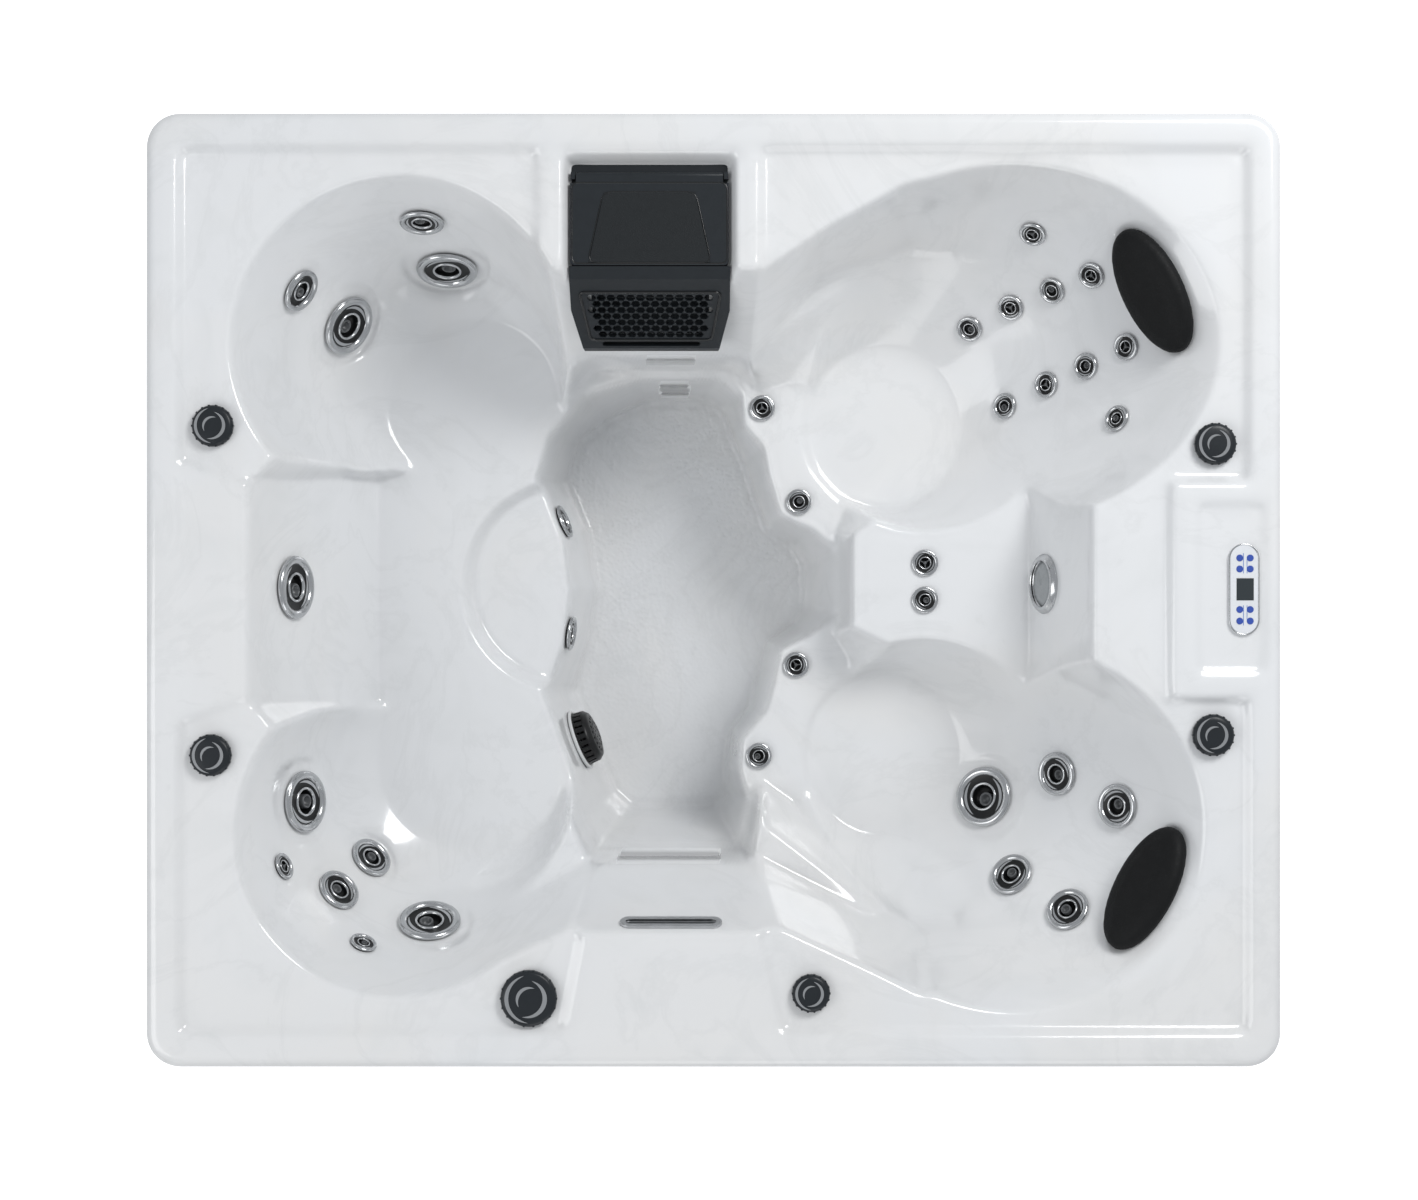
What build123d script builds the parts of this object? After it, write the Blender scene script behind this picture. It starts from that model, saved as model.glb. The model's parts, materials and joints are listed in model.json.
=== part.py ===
from build123d import *
import math
import os

os.makedirs("parts", exist_ok=True)

# Overall size of the hot tub
length_x = 2200.0
width_y = 1850.0
height_z = 900.0
rim_corner_radius = 68.0
rim_edge_radius = 22.0
rim_skirt_height = 72.0

# Acrylic shell wall and the levels of its top
shell_wall = 8.0
plateau_drop = 8.0
deck_drop = 22.0
panel_recess_drop = 13.0
band_z = height_z
plateau_z = band_z - plateau_drop
deck_z = band_z - deck_drop
deck_under_z = deck_z - shell_wall

# Levels inside the tub
seat_z = 450.0
lounge_seat_z = 440.0
arm_z = 600.0
shelf_z = 455.0
recess_step_z = 402.0
footwell_z = 130.0


def grown(points, distance):
    """Outline with every side moved outward by one distance, same number of corners."""
    count = len(points)
    area = sum(points[i][0] * points[(i + 1) % count][1] - points[(i + 1) % count][0] * points[i][1]
               for i in range(count))
    side = 1.0 if area > 0 else -1.0
    result = []
    for i in range(count):
        before = Vector(points[i][0] - points[i - 1][0], points[i][1] - points[i - 1][1]).normalized()
        ahead = points[(i + 1) % count]
        after = Vector(ahead[0] - points[i][0], ahead[1] - points[i][1]).normalized()
        normal_in = Vector(before.Y, -before.X) * side
        normal_out = Vector(after.Y, -after.X) * side
        corner = (normal_in + normal_out) * (distance / (1.0 + normal_in.dot(normal_out)))
        result.append((points[i][0] + corner.X, points[i][1] + corner.Y))
    return result


def outline_at(points, z):
    return make_face(Polyline(*[(x, y, z) for x, y in points], close=True))


def oval_at(z, centre_x, centre_y, half_x, half_y):
    return Plane((centre_x, centre_y, z)) * Ellipse(half_x, half_y)


def oval_bowl(rows, grow=0.0, drop=0.0):
    """Bowl through a stack of ovals, highest first."""
    sections = [oval_at(z - drop, cx, cy, hx + grow, hy + grow) for z, cx, cy, hx, hy in rows]
    return loft(sections, ruled=True)


def outline_well(rows, grow=0.0, drop=0.0):
    """Well through a stack of outlines with the same number of corners, highest first."""
    sections = [outline_at(grown(points, grow) if grow else points, z - drop) for z, points in rows]
    return loft(sections, ruled=True)


above_z = band_z + 6.0

# Seat and lounge bowls: level, centre and half widths, highest first
bowl_upper_left = [(above_z, -617, 482, 330, 330), (deck_z, -615, 480, 325, 325), (650, -580, 450, 275, 275),
                   (510, -545, 430, 235, 235), (seat_z, -505, 395, 185, 185)]
bowl_lower_left = [(above_z, -617, -477, 320, 320), (deck_z, -615, -475, 315, 315), (650, -580, -425, 280, 280),
                   (510, -540, -385, 245, 245), (seat_z, -510, -350, 205, 205)]
bowl_upper_right = [(above_z, 588, 487, 406, 348), (deck_z, 585, 485, 400, 343), (740, 525, 450, 340, 320),
                    (600, 445, 410, 270, 285), (500, 395, 370, 210, 220), (lounge_seat_z, 360, 345, 165, 175)]
bowl_lower_right = [(above_z, 588, -467, 376, 360), (deck_z, 585, -465, 370, 355), (740, 515, -425, 335, 320),
                    (600, 435, -380, 270, 280), (500, 395, -360, 210, 220), (lounge_seat_z, 360, -345, 165, 175)]
bowls = [bowl_upper_left, bowl_lower_left, bowl_upper_right, bowl_lower_right]

# Left middle seat with its sloping back
left_seat = [(above_z, [(-910, 215), (-220, 215), (-220, -225), (-910, -225)]),
             (620, [(-795, 240), (-230, 240), (-230, -235), (-795, -235)]),
             (seat_z, [(-712, 252), (-240, 252), (-240, -245), (-712, -245)])]

# Open middle of the tub, down to the arm between the loungers
middle_top = [(-325, 630), (85, 630), (230, 716), (362, 795), (440, 819), (555, 560), (745, 175), (745, -160),
              (555, -560), (500, -812), (400, -796), (305, -745), (140, -670), (-290, -670), (-450, -750),
              (-570, -600), (-905, -225), (-905, 215), (-570, 560)]
middle_arm = [(-285, 470), (80, 470), (200, 620), (412, 705), (500, 700), (590, 600), (655, 175), (655, -145),
              (590, -595), (500, -672), (412, -682), (300, -655), (90, -548), (-235, -548), (-440, -650),
              (-605, -595), (-790, -205), (-790, 205), (-585, 535)]
middle_well = [(above_z, middle_top), (arm_z, middle_arm)]

# Middle at seat level, open to the seats on the left and to the shelves on the right
low_middle_top = [(-315, 420), (-248, 490), (-157, 500), (32, 500), (95, 452), (284, 112), (284, -68), (95, -450),
                  (78, -552), (-255, -552), (-340, -362), (-380, -212), (-400, 0), (-405, 262)]
low_middle_floor = [(-305, 405), (-240, 475), (-155, 485), (25, 485), (80, 445), (270, 110), (270, -65), (80, -445),
                    (65, -550), (-245, -550), (-325, -360), (-365, -210), (-385, 0), (-400, 262)]
low_middle = [(arm_z + 8, low_middle_top), (shelf_z, low_middle_floor)]

# Calf-jet shelves at the front of each lounger
shelf_upper = [(600, [(80, 490), (270, 625), (445, 535), (385, 185), (255, 95), (95, 250)]),
               (shelf_z, [(75, 420), (155, 435), (290, 405), (290, 195), (260, 110), (130, 195)])]
shelf_lower = [(600, [(255, -65), (385, -120), (445, -535), (395, -705), (115, -490), (75, -350)]),
               (shelf_z, [(260, -80), (290, -145), (290, -380), (165, -445), (85, -390), (130, -125)])]

# Recessed round step in front of the left seat
step_rows = [(shelf_z + 25, -305, 10, 232, 232), (recess_step_z, -310, 15, 210, 210)]

# Footwell with scalloped right side
footwell_top = [(-275, 420), (-155, 450), (20, 450), (60, 415), (60, 350), (105, 305), (115, 240), (140, 160),
                (215, 125), (265, 85), (265, -50), (210, -90), (140, -125), (125, -200), (110, -255), (55, -305),
                (55, -380), (75, -445), (55, -540), (-240, -540), (-275, -495), (-310, -350), (-365, -210),
                (-330, -105), (-320, 0), (-335, 120), (-380, 235), (-355, 320)]
footwell_floor = [(-240, 390), (-150, 435), (-25, 435), (25, 410), (50, 345), (75, 285), (95, 225), (125, 140),
                  (180, 105), (205, 60), (205, -35), (180, -75), (125, -110), (100, -200), (85, -255), (45, -335),
                  (35, -400), (35, -455), (5, -485), (-185, -485), (-225, -450), (-260, -375), (-315, -225),
                  (-280, -110), (-260, 5), (-280, 130), (-330, 250), (-300, 345)]
footwell = [(shelf_z + 20, footwell_top), (footwell_z, footwell_floor)]

# Pocket in the top for the skimmer unit
skimmer_x = -124.5
pocket_half = 160.0
pocket_back_y = 838.0
pocket_z = 850.0
skimmer_pocket = [(above_z, [(skimmer_x - pocket_half - 3, 590), (skimmer_x + pocket_half + 3, 590),
                             (skimmer_x + pocket_half + 3, pocket_back_y + 3),
                             (skimmer_x - pocket_half - 3, pocket_back_y + 3)]),
                  (pocket_z, [(skimmer_x - pocket_half, 590), (skimmer_x + pocket_half, 590),
                              (skimmer_x + pocket_half, pocket_back_y), (skimmer_x - pocket_half, pocket_back_y)])]

outline_wells = [left_seat, middle_well, low_middle, shelf_upper, shelf_lower, footwell, skimmer_pocket]

# Corner decks, lower than the plateaus between them
deck_left_upper = [(-1030, 851), (-345, 851), (-345, 505), (-805, 185), (-1030, 250)]
deck_right = [(95, 851), (1031, 851), (1031, 215), (880, 215), (880, -215), (1031, -215), (1031, -851),
              (135, -851), (95, -675), (360, -215), (360, 270), (95, 565)]
deck_left_lower = [(-1030, -255), (-875, -205), (-610, -115), (-260, -675), (-295, -851), (-1030, -851)]
inner_top = [(-1035, 856), (1035, 856), (1035, 215), (880, 215), (880, -215), (1035, -215), (1035, -856),
             (-1035, -856)]


# Control panel recess, open to the right edge of the rim
recess_left_x = 937.0
recess_low_y = -157.0
recess_high_y = 165.0
recess_z = band_z - panel_recess_drop
recess_floor_wall = 12.0

# Jets: bezel diameter, bore of the body, how far the body reaches behind the wall, radius of the moulded pad
jet_large = (127.0, 28.0, 70.0, 86.0)
jet_medium = (90.0, 20.0, 60.0, 61.0)
jet_wall = (75.0, 17.0, 55.0, 42.0)
jet_small = (55.0, 11.5, 45.0, 37.0)
jet_tube_wall = 3.0
jet_collar = 3.0
pad_backing = 6.0
running_fit = 0.08
hole_fit = 0.4
face_gap = 0.3

# Rotating jets in the bowls: node, kind, bowl, angle round the bowl, level
bowl_jets = [("jet_large_1", jet_large, bowl_upper_left, 90.6, 539), ("jet_large_2", jet_large, bowl_upper_left, 150.4, 545),
             ("jet_large_4", jet_large, bowl_lower_left, -176.7, 623), ("jet_large_5", jet_large, bowl_lower_left, -92.5, 616),
             ("jet_large_6", jet_large, bowl_lower_right, -21.8, 488),
             ("jet_medium_1", jet_medium, bowl_upper_left, 89.3, 713), ("jet_medium_2", jet_medium, bowl_upper_left, 148.9, 710),
             ("jet_medium_3", jet_medium, bowl_lower_left, -135.3, 522), ("jet_medium_4", jet_medium, bowl_lower_left, -134.7, 634),
             ("jet_medium_5", jet_medium, bowl_lower_right, 1.0, 606), ("jet_medium_6", jet_medium, bowl_lower_right, -3.5, 709),
             ("jet_medium_7", jet_medium, bowl_lower_right, -47.8, 601), ("jet_medium_8", jet_medium, bowl_lower_right, -47.4, 711)]

# Small fixed jets in the bowls: bowl, angle, level
small_bowl_jets = [(bowl_lower_left, -157.8, 734), (bowl_lower_left, -112.5, 726), (bowl_upper_right, 64.4, 705),
                   (bowl_upper_right, 50.6, 512), (bowl_upper_right, 43.9, 576), (bowl_upper_right, 40.2, 644),
                   (bowl_upper_right, 38.4, 710), (bowl_upper_right, 3.6, 509), (bowl_upper_right, 5.2, 579),
                   (bowl_upper_right, 6.7, 646), (bowl_upper_right, 8.8, 713), (bowl_upper_right, -17.9, 708)]

# Small fixed jets facing up: place on the calf shelves and on the arm
small_shelf_jets = [(104, 388), (182, 189), (176, -157), (97, -350)]
small_arm_jets = [(436, 57), (436, -19)]

# Rotary controls on the decks: node, cap diameter, place
knob_large = 110.0
knob_small = 81.0
knobs = [("diverter_knob", knob_large, -358, -791), ("air_knob_1", knob_small, -970, 318),
         ("air_knob_2", knob_small, -974, -320), ("air_knob_3", knob_small - 7, 189, -781),
         ("air_knob_4", knob_small, 968, -281), ("air_knob_5", knob_small, 972, 283)]
knob_height = 17.0
knob_stem = 8.0
knob_stem_length = 34.0
valve_tube_wall = 5.0
valve_depth = 62.0
diverter_body = 40.0
diverter_depth = 110.0

# Light, suction cover and waterfall
light_ring = 122.0
light_glass = 92.0
light_level = 665.0
light_throat = 36.0
suction_size = 126.0
suction_height = 44.0
suction_lift = 2.0
suction_level = 286.0
waterfall_length = 199.0
waterfall_width = 38.0
waterfall_level = 856.0

# Pillows
pillow_length = 266.0
pillow_width = 140.0
pillow_thickness = 40.0
pillow_lift = 8.0
pillow_gap = 0.3
pillow_places = [("pillow_upper", bowl_upper_right, 23.9, 794), ("pillow_lower", bowl_lower_right, -26.4, 806)]

# Pipes
pipe_radius = 25.0
pipe_wall = 3.0
pipe_bend = 50.0
socket_fit = 0.15
socket_radius = 33.0


def wells(grow=0.0, drop=0.0):
    solids = [oval_bowl(rows, grow, drop) for rows in bowls]
    solids.append(oval_bowl(step_rows, grow, drop))
    solids += [outline_well(rows, grow, drop) for rows in outline_wells]
    return solids


def tapered_cut(points, z, slope_run):
    """Lowered area of the top, its edge sloping outward up to above the rim."""
    return outline_well([(above_z, grown(points, slope_run)), (z, points)])


def wall_plane(point, along, up):
    """Plane on a wall, its X level along the wall and its Z out of the wall into the tub."""
    normal = along.cross(up).normalized()
    if normal.Z < 0:
        normal = normal * -1
    return Plane(point, x_dir=along, z_dir=normal)


def rows_around(rows, z):
    for upper, lower in zip(rows, rows[1:]):
        if upper[0] >= z >= lower[0]:
            return upper, lower, (upper[0] - z) / (upper[0] - lower[0])


def bowl_plane(rows, angle, z):
    """Plane on a bowl's wall at an angle round it and a level."""
    upper, lower, share = rows_around(rows, z)
    level = [a + (b - a) * share for a, b in zip(upper[1:], lower[1:])]
    cosine = math.cos(math.radians(angle))
    sine = math.sin(math.radians(angle))
    ends = [Vector(row[1] + row[3] * cosine, row[2] + row[4] * sine, row[0]) for row in (upper, lower)]
    point = ends[0] + (ends[1] - ends[0]) * share
    along = Vector(-level[2] * sine, level[3] * cosine, 0)
    return wall_plane(point, along.normalized(), ends[0] - ends[1])


def side_plane(rows, side, along_share, z):
    """Plane on one flat side of a well, at a share of the side's length and a level."""
    upper, lower, share = rows_around(rows, z)
    count = len(upper[1])
    corners = []
    for row in (upper, lower):
        first = Vector(*row[1][side], row[0])
        second = Vector(*row[1][(side + 1) % count], row[0])
        corners.append((first, second))
    starts = corners[0][0] + (corners[1][0] - corners[0][0]) * share
    ends = corners[0][1] + (corners[1][1] - corners[0][1]) * share
    point = starts + (ends - starts) * along_share
    top_point = corners[0][0] + (corners[0][1] - corners[0][0]) * along_share
    return wall_plane(point, (ends - starts).normalized(), top_point - point)


def disc(plane, radius, low, high):
    """Round bar on a plane, from one height to another along the plane's Z."""
    return plane * (Plane((0, 0, low)) * extrude(Circle(radius), high - low))


def turned(plane, profile):
    """Solid turned round the plane's Z from (radius, height) points."""
    face = make_face(Polyline(*[(radius, 0, height) for radius, height in profile], close=True))
    return plane * revolve(face, Axis.Z)


def jet_places():
    """Each jet's node (or None for the fixed small ones), kind, plane and lift of its pad."""
    places = []
    for node, kind, bowl, angle, z in bowl_jets:
        places.append((node, kind, bowl_plane(bowl, angle, z), kind[0] * 0.04))
    places.append(("jet_large_3", jet_large, side_plane(left_seat, 3, 0.514, 732), -2.0))
    places.append(("jet_wall_1", jet_wall, side_plane(footwell, 25, 0.22, 350), -1.0))
    places.append(("jet_wall_2", jet_wall, side_plane(footwell, 23, 0.14, 354), -1.0))
    for bowl, angle, z in small_bowl_jets:
        places.append((None, jet_small, bowl_plane(bowl, angle, z), 1.1))
    for x, y in small_shelf_jets:
        places.append((None, jet_small, Plane((x, y, shelf_upper[-1][0])), -3.0))
    for x, y in small_arm_jets:
        places.append((None, jet_small, Plane((x, y, arm_z)), -1.5))
    return places


light_plane = side_plane(middle_well, 6, 0.5, light_level)
waterfall_plane = side_plane(middle_well, 12, 0.52, waterfall_level)
suction_plane = side_plane(footwell, 21, 0.25, suction_level).offset(suction_lift)


def pillow_plane(bowl, angle, z):
    return bowl_plane(bowl, angle, z)


def shell_base():
    rim_low = band_z - rim_skirt_height
    rim = Plane((0, 0, rim_low)) * extrude(RectangleRounded(length_x, width_y, rim_corner_radius), rim_skirt_height)
    rim = fillet(rim.edges().group_by(Axis.Z)[-1], rim_edge_radius)
    hollow = Plane((0, 0, rim_low)) * extrude(
        RectangleRounded(length_x - 2 * shell_wall, width_y - 2 * shell_wall, rim_corner_radius - shell_wall),
        deck_under_z - rim_low)
    body = rim - hollow + wells(shell_wall, shell_wall)
    cuts = [tapered_cut(inner_top, plateau_z, 10)]
    cuts += [tapered_cut(points, deck_z, 8) for points in (deck_left_upper, deck_right, deck_left_lower)]
    return body - (cuts + wells())


def make_shell():
    body = shell_base()
    bosses = []
    cuts = []
    for node, kind, plane, lift in jet_places():
        size, bore, depth, pad = kind
        bosses.append(disc(plane, pad, -shell_wall - pad_backing, lift))
        cuts.append(disc(plane, pad, lift, lift + 45))
        cuts.append(disc(plane, bore + jet_tube_wall + hole_fit, -60, 20))
    bosses.append(disc(light_plane, light_ring * 0.6, -shell_wall - pad_backing, -shell_wall / 2))
    cuts.append(disc(light_plane, light_throat + hole_fit, -60, 20))
    bosses.append(disc(suction_plane, suction_size * 0.55, -shell_wall - pad_backing, 0))
    cuts.append(disc(suction_plane, suction_size * 0.55, 0, 20))
    cuts.append(disc(suction_plane, socket_radius + hole_fit, -60, 20))
    for name, bowl, angle, z in pillow_places:
        plane = pillow_plane(bowl, angle, z)
        pad = Ellipse(pillow_length / 2 + 5, pillow_width / 2 + 5)
        low = -shell_wall - pad_backing - pillow_lift
        bosses.append(plane * (Plane((0, 0, low)) * extrude(pad, pillow_lift - low)))
        cuts.append(plane * (Plane((0, 0, pillow_lift)) * extrude(pad, 60)))
    slot = SlotOverall(waterfall_length - 12, waterfall_width - 12)
    cuts.append(waterfall_plane * (Plane((0, 0, -40)) * extrude(slot, 60)))
    for name, size, x, y in knobs:
        bore = knob_stem + running_fit + valve_tube_wall + hole_fit
        cuts.append(disc(Plane((x, y, deck_z)), bore, -40, 20))
    mouth_width = 2 * (bucket_half + 3)
    cuts.append(Pos(skimmer_x, (mouth_front_y + bucket_back_y + 3) / 2, (mouth_z + above_z) / 2)
                * Box(mouth_width, bucket_back_y + 3 - mouth_front_y, above_z - mouth_z))
    tray_centre_x = (recess_left_x + length_x / 2) / 2
    tray_span = recess_high_y - recess_low_y
    tray_y = (recess_high_y + recess_low_y) / 2
    cuts.append(Pos(tray_centre_x + 10, tray_y, recess_z + 20) * Box(length_x / 2 - recess_left_x + 20, tray_span, 40))
    cuts.append(Plane((panel_x, panel_y, 0)) * extrude(
        Rotation(0, 0, 90) * SlotOverall(panel_length - 26, panel_width - 22), above_z))
    return body + bosses - cuts


# Skimmer unit
bucket_half = 116.0
bucket_back_y = 812.0
bucket_front_y = 640.0
bucket_floor_z = 430.0
bucket_wall = 5.0
mouth_z = 694.0
mouth_front_y = 515.0
skimmer_flange = 4.0
flange_half = 156.0
lid_half = 154.0
lid_thickness = 14.0
lid_front_y = 631.5
lid_hinge_y = 806.0
lid_clearance = 4.0
hinge_pin = 2.5
hood_wall = 6.0
hood_half_top = 157.0
hood_half_low = 131.0
seat_gap = 0.3
cell_radius = 9.4
cell_pitch = 19.2
weir_y = 592.0
weir_z = 712.0
weir_height = 96.0
filter_radius = 68.0
filter_inner = 54.0
filter_pleats = 36
filter_height = 252.0

# Control panel on the rim
panel_x = 1026.6
panel_y = 1.4
panel_length = 176.0
panel_width = 58.0
panel_height = 6.0
panel_boss = 16.0
button_radius = 6.6
button_fit = 0.12
button_travel = 0.8
button_depth = 4.6
button_rise = 1.0
button_columns = (1018.0, 1038.3)
button_rows = (62.0, 40.7, -37.7, -60.0)
screen_x = 1028.5
screen_y = 1.5
screen_width = 33.0
screen_height = 43.0
screen_depth = 2.0


def middle_wall_y(z):
    """Where the wall under the skimmer lies at a level."""
    upper, lower = middle_well
    share = (upper[0] - z) / (upper[0] - lower[0])
    return upper[1][0][1] + (lower[1][0][1] - upper[1][0][1]) * share


def fittings_shell_side(kind, plane, lift):
    """Body of a jet: collar on the pad, tube through the wall, nut and hose barb behind it."""
    size, bore, depth, pad = kind
    back = -shell_wall - pad_backing
    tube = bore + jet_tube_wall
    body = disc(plane, size * 0.45, lift, lift + jet_collar)
    body += disc(plane, tube, -depth, lift + 1)
    body += disc(plane, tube + 8, back - 10, back)
    barb_plane = plane * Plane((0, 0, -depth + 10), z_dir=(0, 1, 0))
    body += disc(barb_plane, 7, 0, tube + 22)
    return body - disc(plane, bore, -depth + 20, lift + 10) - disc(barb_plane, 5, bore - 6, tube + 30)


def jet_face(kind, plane, lift, fixed):
    """Bezel, cup and nozzle of a jet, seated in its body's bore."""
    size, bore, depth, pad = kind
    low = lift + jet_collar + (0.0 if fixed else face_gap)
    stem = bore - running_fit
    wall = 2.2
    edge = size / 2
    floor = lift - bore * 0.45
    profile = [(stem - wall, floor), (stem, floor), (stem, low), (edge - 1.5, low), (edge, low + 2),
               (edge - size * 0.01, low + size * 0.05), (edge - size * 0.05, low + size * 0.08),
               (edge - size * 0.12, low + size * 0.075), (edge - size * 0.19, low + size * 0.035),
               (stem - wall, low + size * 0.012)]
    face = turned(plane, profile)
    face += disc(plane, stem - wall / 2, floor, floor + 3)
    shifted = plane * Plane((bore * 0.16, 0, 0))
    face += disc(shifted, bore * 0.55, floor, low)
    return face - disc(shifted, bore * 0.38, floor - 1, low + 5)


def make_jets():
    bodies = []
    fixed_faces = []
    for node, kind, plane, lift in jet_places():
        bodies.append(fittings_shell_side(kind, plane, lift))
        face = jet_face(kind, plane, lift, node is None)
        if node is None:
            fixed_faces.append(face)
        else:
            write(node, [face])
    write("jet_bodies", bodies)
    write("small_jet_faces", fixed_faces)


def make_knobs():
    valves = []
    for name, size, x, y in knobs:
        plane = Plane((x, y, deck_z))
        low = jet_collar + face_gap
        top = low + knob_height
        edge = size / 2
        cap = turned(plane, [(0, low), (edge - 2, low), (edge, low + 3), (edge - 2, top - 5), (edge - 7, top - 1),
                             (edge * 0.6, top), (0, top - 1.5)])
        cap += disc(plane, knob_stem, -knob_stem_length, low + 1)
        write(name, [cap])
        tube = knob_stem + running_fit + valve_tube_wall
        is_diverter = size == knob_large
        depth = diverter_depth if is_diverter else valve_depth
        valve = disc(plane, edge * 0.82, 0, jet_collar) + disc(plane, tube, -depth, 1)
        valve += disc(plane, tube + 7, -shell_wall - 10, -shell_wall)
        if is_diverter:
            valve += disc(plane, diverter_body, -depth, -knob_stem_length - 8)
            valve += disc(plane, socket_radius, -depth - 32, -depth)
            valve -= disc(plane, pipe_radius + socket_fit, -depth - 40, -depth + 8)
        else:
            valve += disc(plane * Plane((0, 0, -depth + 12), z_dir=(0, 1, 0)), 7, 0, tube + 20)
        valves.append(valve - disc(plane, knob_stem + running_fit, -knob_stem_length - 2, 10))
    write("valve_bodies", valves)


def make_skimmer():
    half = bucket_half
    span = bucket_back_y - bucket_front_y
    mid = (bucket_back_y + bucket_front_y) / 2
    tall = pocket_z - bucket_floor_z
    bucket = Pos(skimmer_x, mid, bucket_floor_z + tall / 2) * Box(2 * half, span, tall)
    mouth_span = bucket_front_y + bucket_wall - mouth_front_y
    mouth = Pos(skimmer_x, mouth_front_y + mouth_span / 2, (mouth_z + 2 + pocket_z) / 2) * Box(
        2 * half, mouth_span, pocket_z - mouth_z - 2)
    flange_front = middle_wall_y(pocket_z) + 2
    flange_back = pocket_back_y - 2
    flange = Pos(skimmer_x, (flange_front + flange_back) / 2, pocket_z + skimmer_flange / 2) * Box(
        2 * flange_half, flange_back - flange_front, skimmer_flange)
    wall_cut = make_face(Polyline(
        (skimmer_x - 200, 0, mouth_z - 20), (skimmer_x - 200, middle_wall_y(mouth_z - 20), mouth_z - 20),
        (skimmer_x - 200, middle_wall_y(pocket_z), pocket_z), (skimmer_x - 200, 0, pocket_z), close=True))
    housing = bucket + (mouth - extrude(wall_cut, 400, dir=(1, 0, 0))) + flange
    inner_half = half - bucket_wall
    housing -= Pos(skimmer_x, mid, bucket_floor_z + bucket_wall + tall / 2 + 10) * Box(
        2 * inner_half, span - 2 * bucket_wall, tall + 20)
    housing -= Pos(skimmer_x, (mouth_front_y + bucket_front_y) / 2, mouth_z + 2 + bucket_wall + 100) * Box(
        2 * inner_half, bucket_front_y - mouth_front_y + 4 * bucket_wall, 200)
    hinge_z = pocket_z + skimmer_flange + lid_clearance + lid_thickness / 2
    for side in (-1, 1):
        ear_x = skimmer_x + side * (lid_half - 5)
        ear_top = hinge_z + 6
        housing += Pos(ear_x, lid_hinge_y, (pocket_z + ear_top) / 2) * Box(8, 14, ear_top - pocket_z)
        housing += Pos(ear_x - side * 8, lid_hinge_y, hinge_z) * Rotation(0, 90, 0) * Cylinder(hinge_pin, 12)
        housing -= Pos(skimmer_x + side * (inner_half + 1), weir_y, weir_z) * Rotation(0, 90, 0) * Cylinder(
            hinge_pin + running_fit, 5)
    outlet = Plane((skimmer_x, mid, bucket_floor_z), z_dir=(0, 0, -1))
    housing += disc(outlet, socket_radius, -2, 34)
    housing -= disc(outlet, pipe_radius + socket_fit, 6, 40)
    housing -= disc(outlet, pipe_radius - pipe_wall, -10, 40)
    write("skimmer_housing", [housing])

    lid_low = pocket_z + skimmer_flange + lid_clearance
    lid = Pos(skimmer_x, (lid_front_y + lid_hinge_y) / 2, lid_low + lid_thickness / 2) * Box(
        2 * lid_half, lid_hinge_y - lid_front_y, lid_thickness)
    lid += Pos(skimmer_x, lid_hinge_y, hinge_z) * Rotation(0, 90, 0) * Cylinder(lid_thickness / 2, 2 * lid_half)
    front_corners = lid.edges().filter_by(Axis.Z).group_by(Axis.Y)[0]
    lid = fillet(front_corners, 10)
    for side in (-1, 1):
        notch_x = skimmer_x + side * (lid_half - 3)
        lid -= Pos(notch_x, lid_hinge_y, hinge_z) * Box(16, 30, 30)
        lid -= Pos(skimmer_x + side * (lid_half - 14), lid_hinge_y, hinge_z) * Rotation(0, 90, 0) * Cylinder(
            hinge_pin + running_fit, 14)
    write("skimmer_lid", [lid])
    make_hood()

    weir = Pos(skimmer_x, weir_y, weir_z + weir_height / 2) * Box(2 * inner_half - 6, 4, weir_height)
    weir += Pos(skimmer_x, weir_y, weir_z) * Rotation(0, 90, 0) * Cylinder(hinge_pin, 2 * inner_half + 4)
    weir += Pos(skimmer_x, weir_y, weir_z) * Rotation(0, 90, 0) * Cylinder(5, 2 * inner_half - 6)
    write("skimmer_weir", [weir])

    filter_z = bucket_floor_z + bucket_wall
    points = []
    for i in range(2 * filter_pleats):
        radius = filter_radius if i % 2 == 0 else filter_inner
        turn = math.pi * i / filter_pleats
        points.append((radius * math.cos(turn), radius * math.sin(turn)))
    cap_height = 12.0
    core = extrude(make_face(Polyline(*points, close=True)), filter_height)
    core += [Pos(0, 0, h - cap_height / 2) * Cylinder(filter_radius + 3, cap_height)
             for h in (cap_height, filter_height)]
    core -= Cylinder(22, 3 * filter_height)
    write("filter_cartridge", [Pos(skimmer_x, mid, filter_z) * core])


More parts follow.
